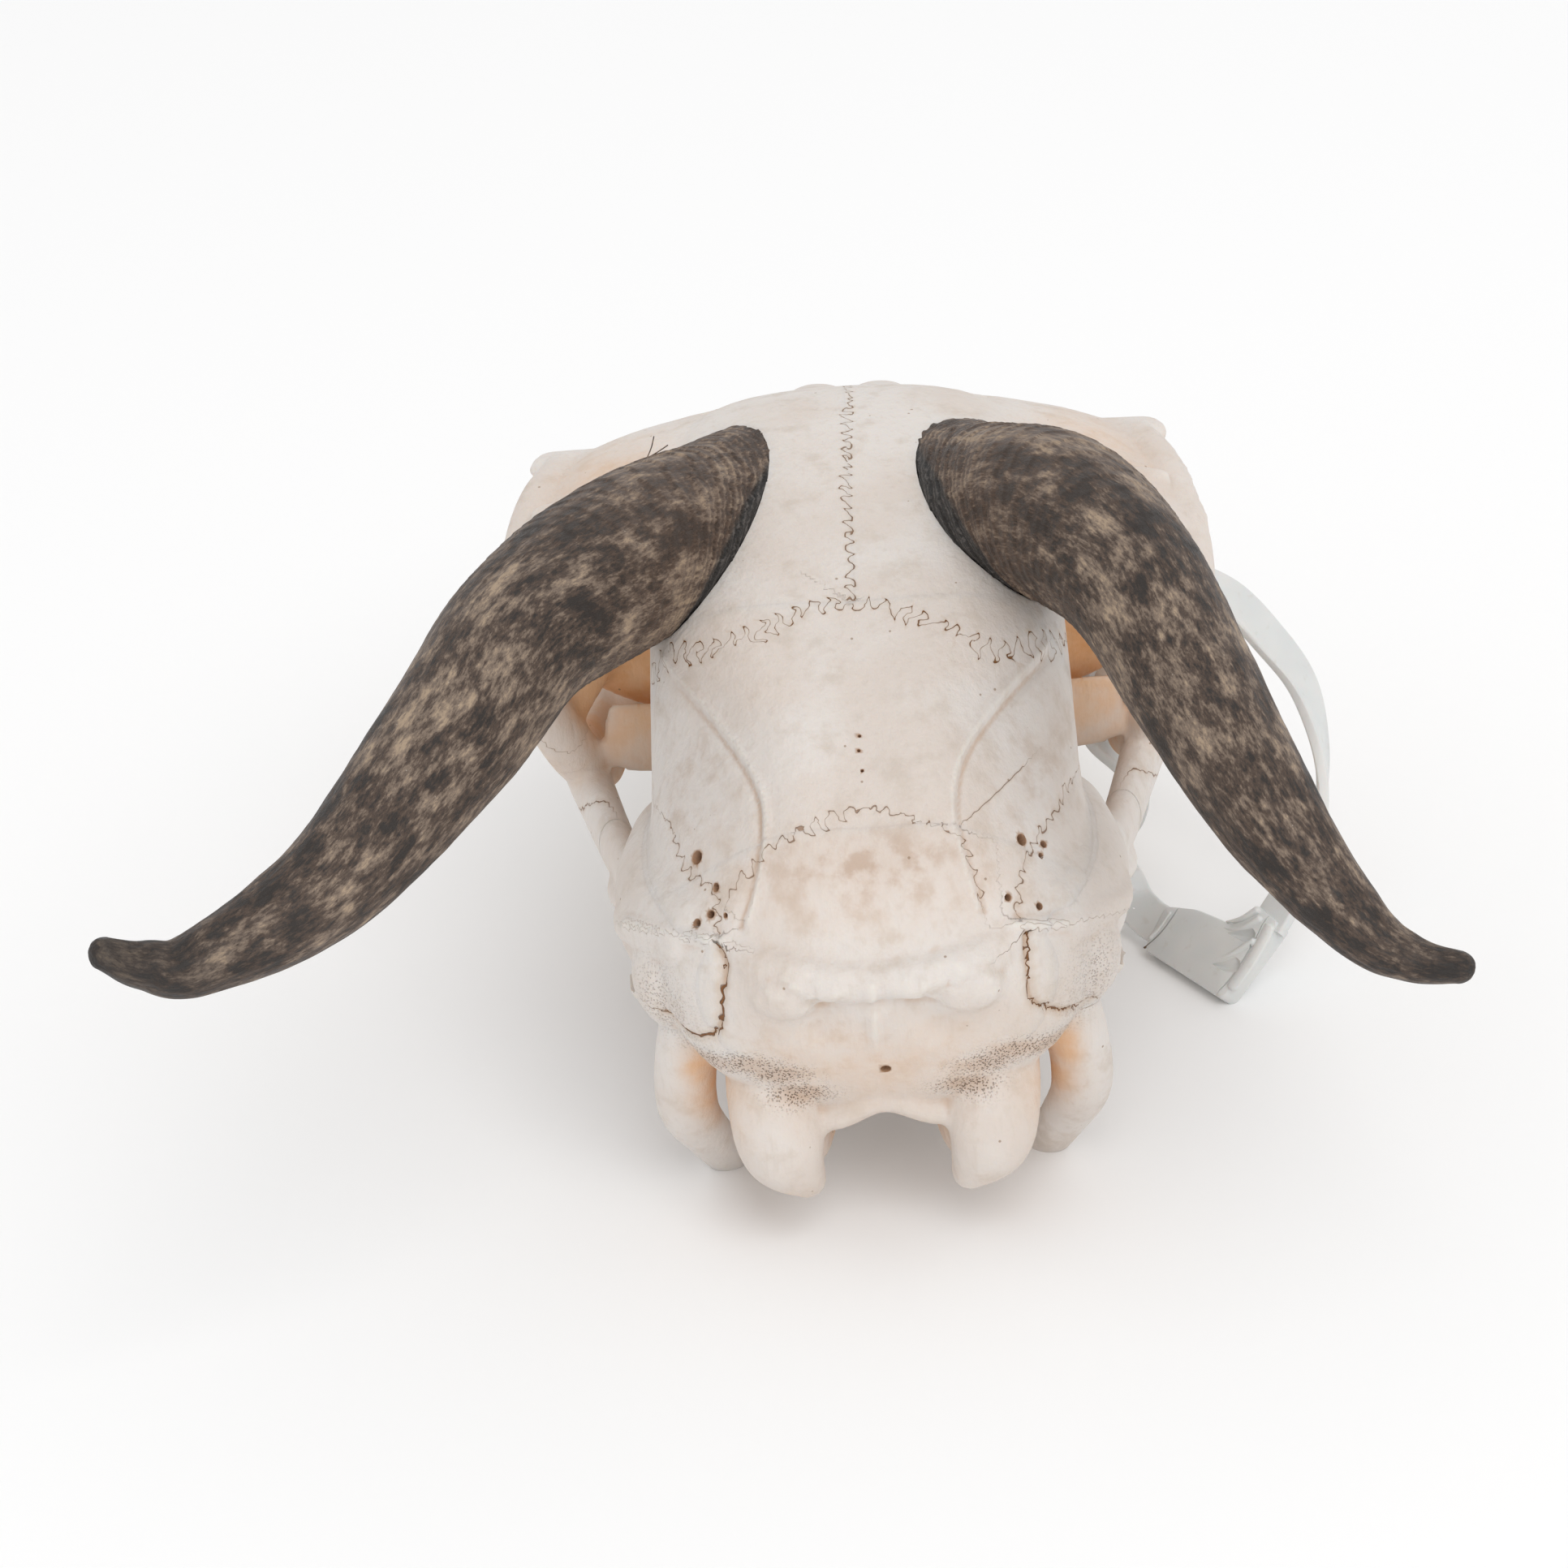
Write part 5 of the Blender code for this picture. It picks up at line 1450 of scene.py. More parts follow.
    def face_forms(self, side: float) -> list[bpy.types.Object]:
        """Builds the brow, the cheek arch, the walls round the orbit and the muzzle of one side.

        Args:
            side: 1 for the skull's right, -1 for its left.

        Returns:
            The forms.
        """
        return [
            self.tube("brow_shelf", side, UPRIGHT, (16.0, -14.0, 86.5, 20.5, 6.0),
                      (33.0, -13.5, 83.8, 18.2, 5.0), (43.0, -12.5, 80.2, 18.5, 4.2),
                      (47.5, -12.0, 78.6, 16.0, 3.2)),
            self.tube("brow_corner", side, UPRIGHT, (30.0, -5.0, 83.8, 6.0, 2.6), (40.0, 0.5, 81.8, 5.0, 2.2),
                      (46.9, 5.2, 80.2, 3.4, 1.8)),
            self.tube("postorbital_wall", side, (0.0, 1.0, 0.0), (37.0, -21.0, 83.0, 11.0, 3.2),
                      (39.0, -24.0, 73.0, 9.0, 2.8), (42.5, -27.0, 64.0, 6.5, 2.8),
                      (45.5, -28.5, 55.0, 4.0, 2.8)),
            self.tube("orbit_rear_wall", side, UPRIGHT, (14.0, -24.0, 66.0, 2.6, 16.0),
                      (25.0, -25.5, 66.0, 2.2, 15.0), (33.0, -25.5, 67.0, 2.0, 12.5),
                      (40.0, -25.0, 69.0, 2.2, 10.0)),
            self.tube("orbit_flap", side, UPRIGHT, (17.0, -30.0, 50.5, 2.2, 5.5),
                      (27.0, -30.5, 50.5, 1.7, 5.8), (34.0, -30.5, 51.0, 1.3, 6.0),
                      (38.2, -30.0, 51.5, 1.1, 5.4)),
            self.tube("orbit_front_wall", side, UPRIGHT, (16.0, 36.0, 58.0, 5.5, 16.0),
                      (26.0, 24.0, 59.0, 5.0, 18.0), (35.5, 13.0, 60.5, 4.0, 19.0)),
            self.tube("cheek_root", side, UPRIGHT, (24.0, 34.0, 30.0, 5.5, 9.0), (32.0, 22.0, 34.0, 4.5, 8.5),
                      (38.5, 8.0, 38.5, 3.8, 6.5), (42.0, -6.0, 39.5, 3.6, 5.2),
                      (43.2, -20.0, 42.0, 3.4, 5.4), (40.4, -33.0, 41.0, 3.0, 5.0),
                      (37.2, -46.0, 40.5, 2.8, 4.6), (34.6, -58.0, 42.5, 2.9, 4.4),
                      (33.8, -69.0, 45.0, 2.9, 3.6), (33.4, -79.0, 46.5, 2.6, 2.8)),
            self.tube("facial_crest", side, UPRIGHT, (27.0, 44.0, 31.0, 3.0, 5.0),
                      (30.0, 33.0, 31.5, 4.0, 6.5), (32.0, 22.0, 33.0, 4.0, 6.5)),
            self.tube("alveolar_ridge", side, UPRIGHT, (24.5, -7.0, 18.0, 6.5, 8.0),
                      (26.0, 6.0, 17.0, 7.4, 8.6), (25.3, 22.0, 17.0, 7.2, 8.6),
                      (22.5, 42.0, 16.0, 6.2, 8.0), (18.0, 61.0, 14.0, 4.8, 6.6),
                      (14.5, 73.0, 13.0, 3.4, 4.4)),
            self.tube("maxillary_tuber", side, UPRIGHT, (22.0, 14.0, 34.0, 7.0, 9.0),
                      (22.5, 0.0, 30.0, 6.5, 8.5), (21.5, -9.0, 27.0, 5.0, 7.0)),
            self.tube("nasal", side, UPRIGHT, (5.2, 56.0, 64.2, 5.6, 3.0), (5.2, 76.0, 56.4, 5.2, 2.6),
                      (4.4, 89.0, 50.6, 4.2, 2.2), (3.0, 97.5, 46.4, 2.2, 1.7)),
            self.tube("nasal_process", side, UPRIGHT, (13.5, 64.0, 44.0, 2.4, 8.0),
                      (12.2, 82.0, 34.5, 2.2, 7.2), (10.2, 97.0, 24.0, 2.1, 6.4),
                      (8.6, 109.0, 15.5, 2.4, 4.8), (6.0, 119.0, 10.0, 3.6, 3.0)),
            self.tube("palate_edge", side, UPRIGHT, (10.5, 78.0, 14.5, 3.4, 3.0), (9.6, 92.0, 13.0, 2.8, 2.4),
                      (8.2, 106.0, 11.0, 2.8, 2.2), (6.4, 117.0, 9.4, 3.6, 2.2)),
            self.tube("palatine_process", side, UPRIGHT, (2.2, 82.0, 14.4, 1.9, 2.2),
                      (2.2, 98.0, 12.0, 1.8, 2.0), (3.8, 112.0, 10.0, 2.2, 2.2),
                      (5.0, 117.0, 9.4, 2.6, 2.2)),
        ]

    def cutters(self) -> list[bpy.types.Object]:
        """Builds the openings: nose, notch beside the nasals, spinal cord, ears and nerves.

        Returns:
            The bodies to cut away.
        """
        made = [
            oval_tube("nasal_cavity", [(0.0, 58.0, 43.0, 3.5, 5.0), (0.0, 70.0, 41.0, 8.0, 11.5),
                                       (0.0, 88.0, 34.5, 9.0, 14.0), (0.0, 104.0, 30.0, 8.6, 16.0),
                                       (0.0, 130.0, 26.0, 8.6, 18.0)], UPRIGHT, sides=32),
            prism("nose_notch", [(79.0, 51.8), (100.0, 42.5), (128.0, 42.5), (128.0, 14.0), (112.0, 21.5),
                                 (98.0, 30.5), (86.0, 38.0)], -30.0, 30.0),
            oval_tube("foramen_magnum", [(0.0, -106.0, 0.0, 9.2, 9.0), (0.0, -92.0, 11.8, 8.8, 8.6),
                                         (0.0, -83.0, 19.0, 7.5, 6.0)], UPRIGHT, sides=32),
        ]
        for side in SIDES.values():
            made.append(self.tube("ear_hole", side, UPRIGHT, (29.0, -69.2, 31.4, 2.4, 2.4),
                                  (36.0, -71.3, 34.4, 2.7, 2.7), (46.0, -74.0, 38.5, 2.8, 2.8)))
            made.append(self.tube("infraorbital_hole", side, UPRIGHT, (16.0, 54.0, 33.0, 1.6, 2.4),
                                  (22.0, 58.0, 31.5, 1.8, 2.6), (30.0, 66.0, 29.0, 2.4, 3.0)))
            made.append(self.tube("supraorbital_hole", side, (1.0, 0.0, 0.0), (20.0, -2.0, 82.0, 1.5, 1.9),
                                  (20.0, 2.0, 92.0, 1.6, 2.2), (20.0, 5.0, 101.0, 2.0, 2.8)))
        return made

    def fused(self, horns: Sequence["HornSheath"], finish: bpy.types.Material) -> bpy.types.Object:
        """Builds the whole body of bone.

        Args:
            horns: the sheaths that the bone makes room for.
            finish: the bone's material.

        Returns:
            The sculpted body, cut level at the floor.
        """
        body = self.core()
        forms: list[bpy.types.Object] = []
        for side in SIDES.values():
            forms += self.rear_forms(side) + self.face_forms(side) + self.orbit_rim(side)
        forms += [horn.boss() for horn in horns]
        forms.append(oval_tube("skull_base", [(0.0, -82.0, 19.5, 9.5, 4.0), (0.0, -70.0, 20.0, 9.5, 5.0),
                                              (0.0, -58.0, 23.0, 8.5, 5.5), (0.0, -44.0, 27.0, 7.0, 6.0)],
                               UPRIGHT))
        forms.append(oval_tube("foramen_rim", [(-12.0, -90.5, 20.4, 2.6, 2.2), (-6.5, -92.3, 21.8, 2.4, 2.1),
                                               (0.0, -92.8, 24.6, 2.4, 2.1), (6.5, -92.3, 21.8, 2.4, 2.1),
                                               (12.0, -90.5, 20.4, 2.6, 2.2)], UPRIGHT))
        combine(body, forms, "UNION", "EXACT")
        combine(body, self.cutters(), "DIFFERENCE", "EXACT")
        fuse = body.modifiers.new("fuse", "REMESH")
        fuse.mode = "VOXEL"
        fuse.voxel_size = self.voxel * MM
        soften = body.modifiers.new("soften", "SMOOTH")
        soften.factor = 0.5
        soften.iterations = self.smoothing
        replace_mesh(body)
        keep_largest(body)
        self.detail.sculpt(body.data)
        paint(body.data, Tint.ROUGH.value, self.detail.amount(points_of(body.data), Tint.ROUGH))
        apply_tree(body, bone_tree(), {"Lump size": 3.4, "Lump height": 2.1, "Grain size": 1.3,
                                       "Grain height": 0.9,
                                       "Wear height": 0.22, "Seed": 5.0, "Material": finish})
        room = [horn.room() for horn in horns]
        axes = self.detail.hole_axes(body)
        combine(body, [*room, floor_cutter(), *self.detail.hole_cutters(axes)], "DIFFERENCE")
        keep_largest(body)
        self.detail.paint_pit_shade(body.data, axes)
        # hollowness, which the bone's finish turns into painted shade in hollows and painted highlights on
        # edges
        paint(body.data, "hollow", hollowness(body.data, 3))
        return body

    def side_region(self, outline: Rows, inner: float | Row, side: float = 1.0) -> Region:
        """Gives the solid that an outline seen from the side fills, from an inner distance outwards.

        Args:
            outline: y and z pairs.
            inner: distance from the midline, one or one a pair.
            side: 1 for the skull's right, -1 for its left.

        Returns:
            A function that builds the solid.
        """
        start = np.broadcast_to(inner, len(outline))

        def region() -> bpy.types.Object:
            """Builds the solid between the near outline and the far one."""
            near = [(x * side, y, z) for x, (y, z) in zip(start, outline)]
            far = [(self.outer * side, y, z) for y, z in outline]
            return loft("region", [near, far])
        return region

    def nasal_region(self) -> bpy.types.Object:
        """Builds the strip of roof that the two nasal bones fill.

        Returns:
            The solid.
        """
        rows = ((self.nasion - 4.0, 2.5), (self.nasion + 3.0, 8.5), (50.0, 9.5), (66.0, 10.5), (76.0, 12.0),
                (103.0, 12.0))
        last = self.sections[-1][0]
        rings = []
        for y, width in rows:
            roof = self.roof_height(min(y, last))
            low = roof - 5.2 - max(0.0, y - last) * 0.5
            corners = ((-width, low - 1.0), (0.0, low), (width, low - 1.0), (width, roof + 8.0),
                       (-width, roof + 8.0))
            rings.append([(x, y, z) for x, z in corners])
        return loft("region", rings)

    @staticmethod
    def take(rest: bpy.types.Object, name: str, region: Region) -> bpy.types.Object:
        """Parts the named bone from the rest where the region lies.

        Args:
            rest: the body, which loses the bone.
            name: the bone's name.
            region: builds the solid that the bone fills.

        Returns:
            The bone.
        """
        bone = bpy.data.objects.new(name, rest.data.copy())
        bpy.context.scene.collection.objects.link(bone)
        combine(bone, [region()], "INTERSECT")
        keep_largest(bone)
        combine(rest, [region()], "DIFFERENCE")
        return bone

    def halves(self, pair: bpy.types.Object, name: str) -> dict[str, bpy.types.Object]:
        """Parts a pair of bones at the midline.

        Args:
            pair: both bones as one, which becomes the left one.
            name: the bones' name without a side.

        Returns:
            The two bones by name.
        """
        everywhere = ((-160.0, -10.0), (140.0, -10.0), (140.0, 120.0), (-160.0, 120.0))
        right = self.take(pair, name + "_right", self.side_region(everywhere, 0.0))
        keep_largest(pair)
        pair.name = name + "_left"
        return {name + "_right": right, name + "_left": pair}

    def parted(self, body: bpy.types.Object) -> dict[str, bpy.types.Object]:
        """Parts the body into its bones; what is left at the end is the sphenoid.

        Args:
            body: the whole body of bone.

        Returns:
            The bones by name.
        """
        bregma, nasion = self.bregma, self.nasion
        frontal = ((bregma, 110.0), (bregma + 0.5, 80.0), (-57.0, 62.0), (-40.0, 62.0), (-24.0, 62.5),
                   (-2.0, 67.0), (12.0, 70.0), (22.0, 74.0), (nasion + 4.0, 72.0), (nasion + 2.0, 110.0))
        parietal = ((bregma, 110.0), (bregma + 0.5, 80.0), (-57.5, 61.0), (-60.0, 57.0), (-84.0, 54.0),
                    (-90.5, 68.0), (-93.0, 76.0), (-100.0, 110.0))
        temporal = ((-44.0, 52.0), (-45.5, 34.0), (-50.0, 2.0), (-62.5, 2.0), (-68.3, 6.5), (-73.2, 15.0),
                    (-75.5, 28.0), (-84.0, 33.5), (-96.0, 35.0), (-94.0, 52.5), (-84.0, 53.5), (-58.0, 56.5))
        zygomatic = ((-44.0, 54.0), (-37.5, 61.5), (-20.0, 62.0), (13.0, 47.0), (24.0, 40.0), (23.0, 22.0),
                     (0.0, 26.0), (-45.0, 30.0))
        lacrimal = ((-2.0, 66.8), (12.0, 69.8), (22.0, 73.8), (31.0, 66.0), (27.0, 44.0), (24.3, 40.3),
                    (13.3, 47.0))
        occipital = ((-61.5, -5.0), (-61.5, 29.0), (-70.0, 33.0), (-84.0, 53.8), (-90.5, 67.8),
                     (-100.0, 110.0), (-130.0, 110.0), (-130.0, -5.0))
        maxilla = ((-16.0, -5.0), (-4.0, 37.0), (2.0, 58.0), (12.0, 69.5), (40.0, 110.0), (130.0, 110.0),
                   (130.0, -5.0))
        premaxilla = ((68.0, 56.0), (78.0, 38.0), (88.0, 22.0), (91.0, 5.0), (130.0, 5.0), (130.0, 42.0),
                      (96.0, 42.0), (77.0, 52.5))
        bones: dict[str, bpy.types.Object] = {}
        bones.update(self.halves(self.take(body, "pair", self.nasal_region), "nasal"))
        for name, outline in (("premaxilla", premaxilla), ("frontal", frontal)):
            bones.update(self.halves(self.take(body, "pair", self.side_region(outline, -self.outer)), name))
        bones["parietal"] = self.take(body, "parietal", self.side_region(parietal, -self.outer))
        inner = (33.0, 33.0, 37.9, 35.5, 31.0, 31.0, 37.0, 33.0)
        for name, side in SIDES.items():
            for bone, outline, start in (("temporal", temporal, 13.0), ("zygomatic", zygomatic, inner),
                                         ("lacrimal", lacrimal, 17.0)):
                label = f"{bone}_{name}"
                bones[label] = self.take(body, label, self.side_region(outline, start, side))
        bones["occipital"] = self.take(body, "occipital", self.side_region(occipital, -self.outer))
        bones.update(self.halves(self.take(body, "pair", self.side_region(maxilla, -self.outer)), "maxilla"))
        keep_largest(body)
        body.name = "sphenoid"
        bones["sphenoid"] = body
        return bones

    def build(self, horns: Sequence["HornSheath"]) -> None:
        """Builds, paints and shows every bone.

        Args:
            horns: the sheaths that the bone makes room for.
        """
        finish = BoneFinish().build()
        for name, bone in self.parted(self.fused(horns, finish)).items():
            self.detail.colour(bone.data)
            bone.name = name + "_bone"
            show(bone, finish, [name])


# The teeth

@dataclass
class ToothRow:
    """The cheek teeth of one side: length along the row, breadth and lobes of each, from the front."""

    side: float
    teeth: Rows = ((7.0, 7.0, 1), (8.5, 8.5, 1), (9.0, 10.0, 1), (13.0, 11.5, 2), (16.0, 12.0, 2),
                   (19.0, 11.5, 3))
    front: Row = (17.2, 65.0)
    middle: Row = (23.5, 30.0)
    back: Row = (25.5, -6.5)
    crown: float = 12.0
    sunk: float = 4.0
    sides: int = 40

    def place(self, along: float) -> tuple[np.ndarray, np.ndarray]:
        """Returns the place and the direction on the row, from 0 at its front to 1 at its back.

        Args:
            along: how far along the row.

        Returns:
            The place and the direction, x and y each.
        """
        front, middle, back = (np.array(point) for point in (self.front, self.middle, self.back))
        bend = 2 * middle - 0.5 * (front + back)
        place = (1 - along) ** 2 * front + 2 * along * (1 - along) * bend + along**2 * back
        heading = unit(2 * (1 - along) * (bend - front) + 2 * along * (back - bend))
        return place * (self.side, 1.0), heading * (self.side, 1.0)

    def lobe(self, along: float, length: float, breadth: float, draw: random.Random) -> bpy.types.Object:
        """Builds one lobe: a ribbed column with two crescent hollows in its chewing surface.

        Args:
            along: where on the row its middle is, 0 to 1.
            length: its size along the row.
            breadth: its size across.
            draw: the seeded source of small differences.

        Returns:
            The lobe.
        """
        place, heading = self.place(along)
        across = np.array((heading[1], -heading[0]))
        lean = draw.uniform(-0.25, 0.25)
        phase = draw.uniform(0.0, 1.0)
        rings = []
        levels = [(self.crown + self.sunk, 1.0), (self.crown * 0.75, 1.06), (self.crown * 0.5, 1.08),
                  (self.crown * 0.3, 1.03), (self.crown * 0.15, 0.97), (1.0, 0.9), (0.3, 0.86), (0.0, 0.82),
                  (0.0, 0.66), (0.9, 0.58), (1.0, 0.3), (0.25, 0.2)]
        for height, scale in levels:
            ring = []
            for step in range(self.sides):
                angle = 2 * math.pi * step / self.sides
                rib = 1.0 + 0.035 * math.cos(6 * angle + phase) * (1.0 if scale > 0.8 else 0.0)
                forward = math.copysign(abs(math.cos(angle)) ** 0.75, math.cos(angle)) * length * 0.5
                sideways = math.copysign(abs(math.sin(angle)) ** 0.8, math.sin(angle)) * breadth * 0.5
                point = place + heading * (forward * scale * rib + lean) + across * sideways * scale * rib
                ring.append((point[0], point[1], height))
            rings.append(ring)
        return loft("lobe", rings)

    def build(self, finish: bpy.types.Material, name: str) -> None:
        """Builds the row as one piece, seeded so that both sides match.

        Args:
            finish: the enamel.
            name: right or left.
        """
        draw = random.Random(7)
        total = sum(tooth[0] for tooth in self.teeth)
        lobes = []
        done = 0.0
        for length, breadth, count in self.teeth:
            share = length / count
            for lobe in range(int(count)):
                width = breadth * (0.72 if count == 3 and lobe == 2 else 1.0) * draw.uniform(0.97, 1.03)
                lobes.append(self.lobe((done + share * (lobe + 0.5)) / total, share * 1.05, width, draw))
            done += length
        row = lobes[0]
        combine(row, lobes[1:], "UNION")
        row.name = f"teeth_{name}"
        # hollowness, which the enamel turns into painted shade between the lobes
        paint(row.data, "hollow", hollowness(row.data, 2))
        show(row, finish, [f"maxilla_{name}"])


# The horns

@dataclass
class HornSheath:
    """One horn sheath, from its frayed rim on the brow to its blunt tip."""

    name: str
    keys: Rows
    seed: float
    view: Row = (0.0, 0.87, -0.49)
    base_normal: Row = (0.27, -0.2, 0.943)
    skirt_side: Row = (-0.92, 0.0, -0.4)
    root: float = 40.0
    sides: int = 128
    rings: int = 300
    blend_reach: float = 60.0
    rim_stretch: float = 1.25

    def base(self) -> tuple[np.ndarray, np.ndarray, np.ndarray]:
        """Returns the rim plane's centre and normal and the horn's first direction.

        Returns:
            The centre, the normal and the direction.
        """
        keys = np.array(self.keys)
        normal = unit(np.array(self.base_normal) * (SIDES[self.name], 1.0, 1.0))
        return keys[0, :3], normal, unit(keys[1, :3] - keys[0, :3])

    def rows(self, count: int) -> tuple[np.ndarray, np.ndarray]:
        """Returns evenly spaced rows of the core line and the length at each.

        Args:
            count: how many rows.

        Returns:
            The rows and the lengths.
        """
        fine = spline(self.keys, 24)
        gaps = np.linalg.norm(np.diff(fine[:, :3], axis=0), axis=1)
        length = np.concatenate([[0.0], np.cumsum(gaps)])
        places = np.linspace(0.0, length[-1], count)
        rows = np.stack([np.interp(places, length, fine[:, column]) for column in range(5)], axis=1)
        return rows, places

    def frames(self, count: int) -> tuple[list[Frame], np.ndarray]:
        """Returns each row with its directions ahead, across and deep, carried on below the base.

        Args:
            count: how many rows lie above the base.

        Returns:
            The rows with their directions, and the length at each.
        """
        rows, places = self.rows(count)
        steps = 24
        back = unit(rows[1, :3] - rows[0, :3])
        below = np.repeat(rows[:1], steps, axis=0)
        reach = np.linspace(self.root, self.root / steps, steps)
        below[:, :3] -= back * reach[:, None]
        rows = np.vstack([below, rows])
        places = np.concatenate([-reach, places])
        view = unit(self.view)
        made = []
        for index, row in enumerate(rows):
            ahead = heading_at(rows, index)
            across = unit(np.cross(view, ahead))
            made.append((row, ahead, across, np.cross(ahead, across)))
        return made, places

    def tube(self, label: str, count: int, sides: int, grow: float) -> bpy.types.Object:
        """Builds the sheath as a closed tube cut at the rim plane, made thicker by grow.

        Args:
            label: the object's name.
            count: rings from the base to the tip.
            sides: points in a ring.
            grow: how much thicker it is all round.

        Returns:
            The tube, with its fibre coordinates painted on it.
        """
        frames, places = self.frames(count)
        rings, painted, skirt = [], [], []
        angles = [2 * math.pi * step / sides for step in range(sides)]
        inner = unit(np.array(self.skirt_side) * (SIDES[self.name], 1.0, 1.0))
        for (row, _, across, deep), place in zip(frames, places):
            skirt += [max(0.0, float(np.dot(across * math.cos(a) + deep * math.sin(a), inner)))
                      for a in angles]
            wide, thick = across * (row[3] + grow), deep * (row[4] + grow)
            rings.append([row[:3] + wide * math.cos(a) + thick * math.sin(a) for a in angles])
            painted += [(row[3] * math.cos(a), row[4] * math.sin(a), place) for a in angles]
        last, ahead = frames[-1][0], frames[-1][1]
        top = rings[-1]
        for turn in range(1, 9):
            slope = 0.5 * math.pi * turn / 9
            scale, shift = math.cos(slope), math.sin(slope)
            rings.append([last[:3] + (point - last[:3]) * scale + ahead * last[3] * shift for point in top])
            painted += [(last[3] * scale * math.cos(a), last[4] * scale * math.sin(a),
                         places[-1] + last[3] * shift) for a in angles]
            skirt += [0.0] * sides
        item = loft(label, rings)
        paint(item.data, "fibre", np.array(painted), "FLOAT_VECTOR")
        paint(item.data, "horn_along", np.array(painted)[:, 2])
        paint(item.data, "skirt", np.array(skirt))
        base, normal, _ = self.base()
        mesh_data = bmesh.new()
        mesh_data.from_mesh(item.data)
        everything = mesh_data.verts[:] + mesh_data.edges[:] + mesh_data.faces[:]
        plane = Vector(base - normal * grow + PLACE) * MM
        cut = bmesh.ops.bisect_plane(mesh_data, geom=everything, plane_co=plane, plane_no=Vector(normal),
                                     clear_inner=True)
        rim = [part for part in cut["geom_cut"] if isinstance(part, bmesh.types.BMEdge)]
        bmesh.ops.holes_fill(mesh_data, edges=rim)
        bmesh.ops.triangulate(mesh_data, faces=[face for face in mesh_data.faces if len(face.verts) > 4])
        bmesh.ops.recalc_face_normals(mesh_data, faces=mesh_data.faces)
        mesh_data.to_mesh(item.data)
        mesh_data.free()
        return item

    def room(self) -> bpy.types.Object:
        """Builds the space that the sheath needs in the bone."""
        return self.tube("room", 40, 48, 0.05)

    def boss(self) -> bpy.types.Object:
        """Builds the stub of bone that carries the horn, up past the rim plane.

        Returns:
            The stub.
        """
        base, normal, ahead = self.base()
        radius = self.keys[0][3]
        slant = float(np.dot(ahead, normal))
        long_way = unit(ahead - normal * slant)
        across = np.cross(normal, long_way)
        rings = []
        for height, scale in ((-12.0, 0.9), (2.0, 1.0)):
            rings.append([base + normal * height + long_way * (radius / slant - 1.2) * scale * math.cos(angle)
                          + across * (radius - 1.2) * scale * math.sin(angle)
                          for angle in (2 * math.pi * step / 40 for step in range(40))])
        return loft("boss", rings)

    def rim_distance(self, mesh: bpy.types.Mesh) -> np.ndarray:
        """Returns each point's height above the rim plane.

        Args:
            mesh: the sheath's mesh.

        Returns:
            One value a point.
        """
        base, normal, _ = self.base()
        return (points_of(mesh) - base) @ normal

    def build(self, tree: bpy.types.NodeTree, finish: bpy.types.Material) -> None:
        """Builds the sheath, raises its relief and shows it.

        Args:
            tree: the geometry tree that raises the relief.
            finish: the horn's material.
        """
        item = self.tube(f"horn_sheath_{self.name}", self.rings, self.sides, -0.15)
        mesh = item.data
        rim = np.maximum(self.rim_distance(mesh), 0.0) * self.rim_stretch
        along = np.empty(len(mesh.vertices), np.float32)
        mesh.attributes["horn_along"].data.foreach_get("value", along)
        share = np.clip(along / self.blend_reach, 0.0, 1.0)
        mesh.attributes["horn_along"].data.foreach_set(
            "value", (rim * (1.0 - share) + along * share).astype(np.float32))
        sizes = {"Ring spacing": 3.0, "Ring height": 0.35, "Ring reach": 70.0, "Fibre height": 0.5,
                 "Lump height": 0.9, "Rim fray": 1.2}
        apply_tree(item, tree, {**sizes, "Seed": self.seed, "Material": finish})
        show(item, finish, [f"horn_{self.name}"])


LEFT_HORN: Rows = (
    (-20.6, -30.3, 85.9, 12.0, 12.8), (-32.6, -54.0, 91.8, 12.3, 13.1), (-45.2, -78.0, 94.1, 11.1, 11.7),
    (-56.0, -102.0, 89.5, 9.6, 10.0), (-70.3, -125.0, 82.9, 7.2, 7.5), (-85.8, -138.5, 80.4, 4.5, 4.7),
    (-92.4, -142.5, 82.7, 3.3, 3.4), (-96.6, -144.8, 86.1, 2.4, 2.4),
)
RIGHT_HORN: Rows = (
    (19.7, -31.5, 86.7, 12.0, 12.8), (29.2, -54.0, 94.9, 12.0, 12.9), (37.7, -78.0, 97.1, 10.3, 11.1),
    (44.8, -102.0, 91.4, 8.9, 9.5), (52.8, -125.0, 83.9, 7.1, 7.4), (62.1, -138.5, 75.8, 4.5, 4.7),
    (68.0, -142.5, 73.0, 3.2, 3.3), (73.9, -144.8, 72.7, 2.3, 2.3),
)


# The tag

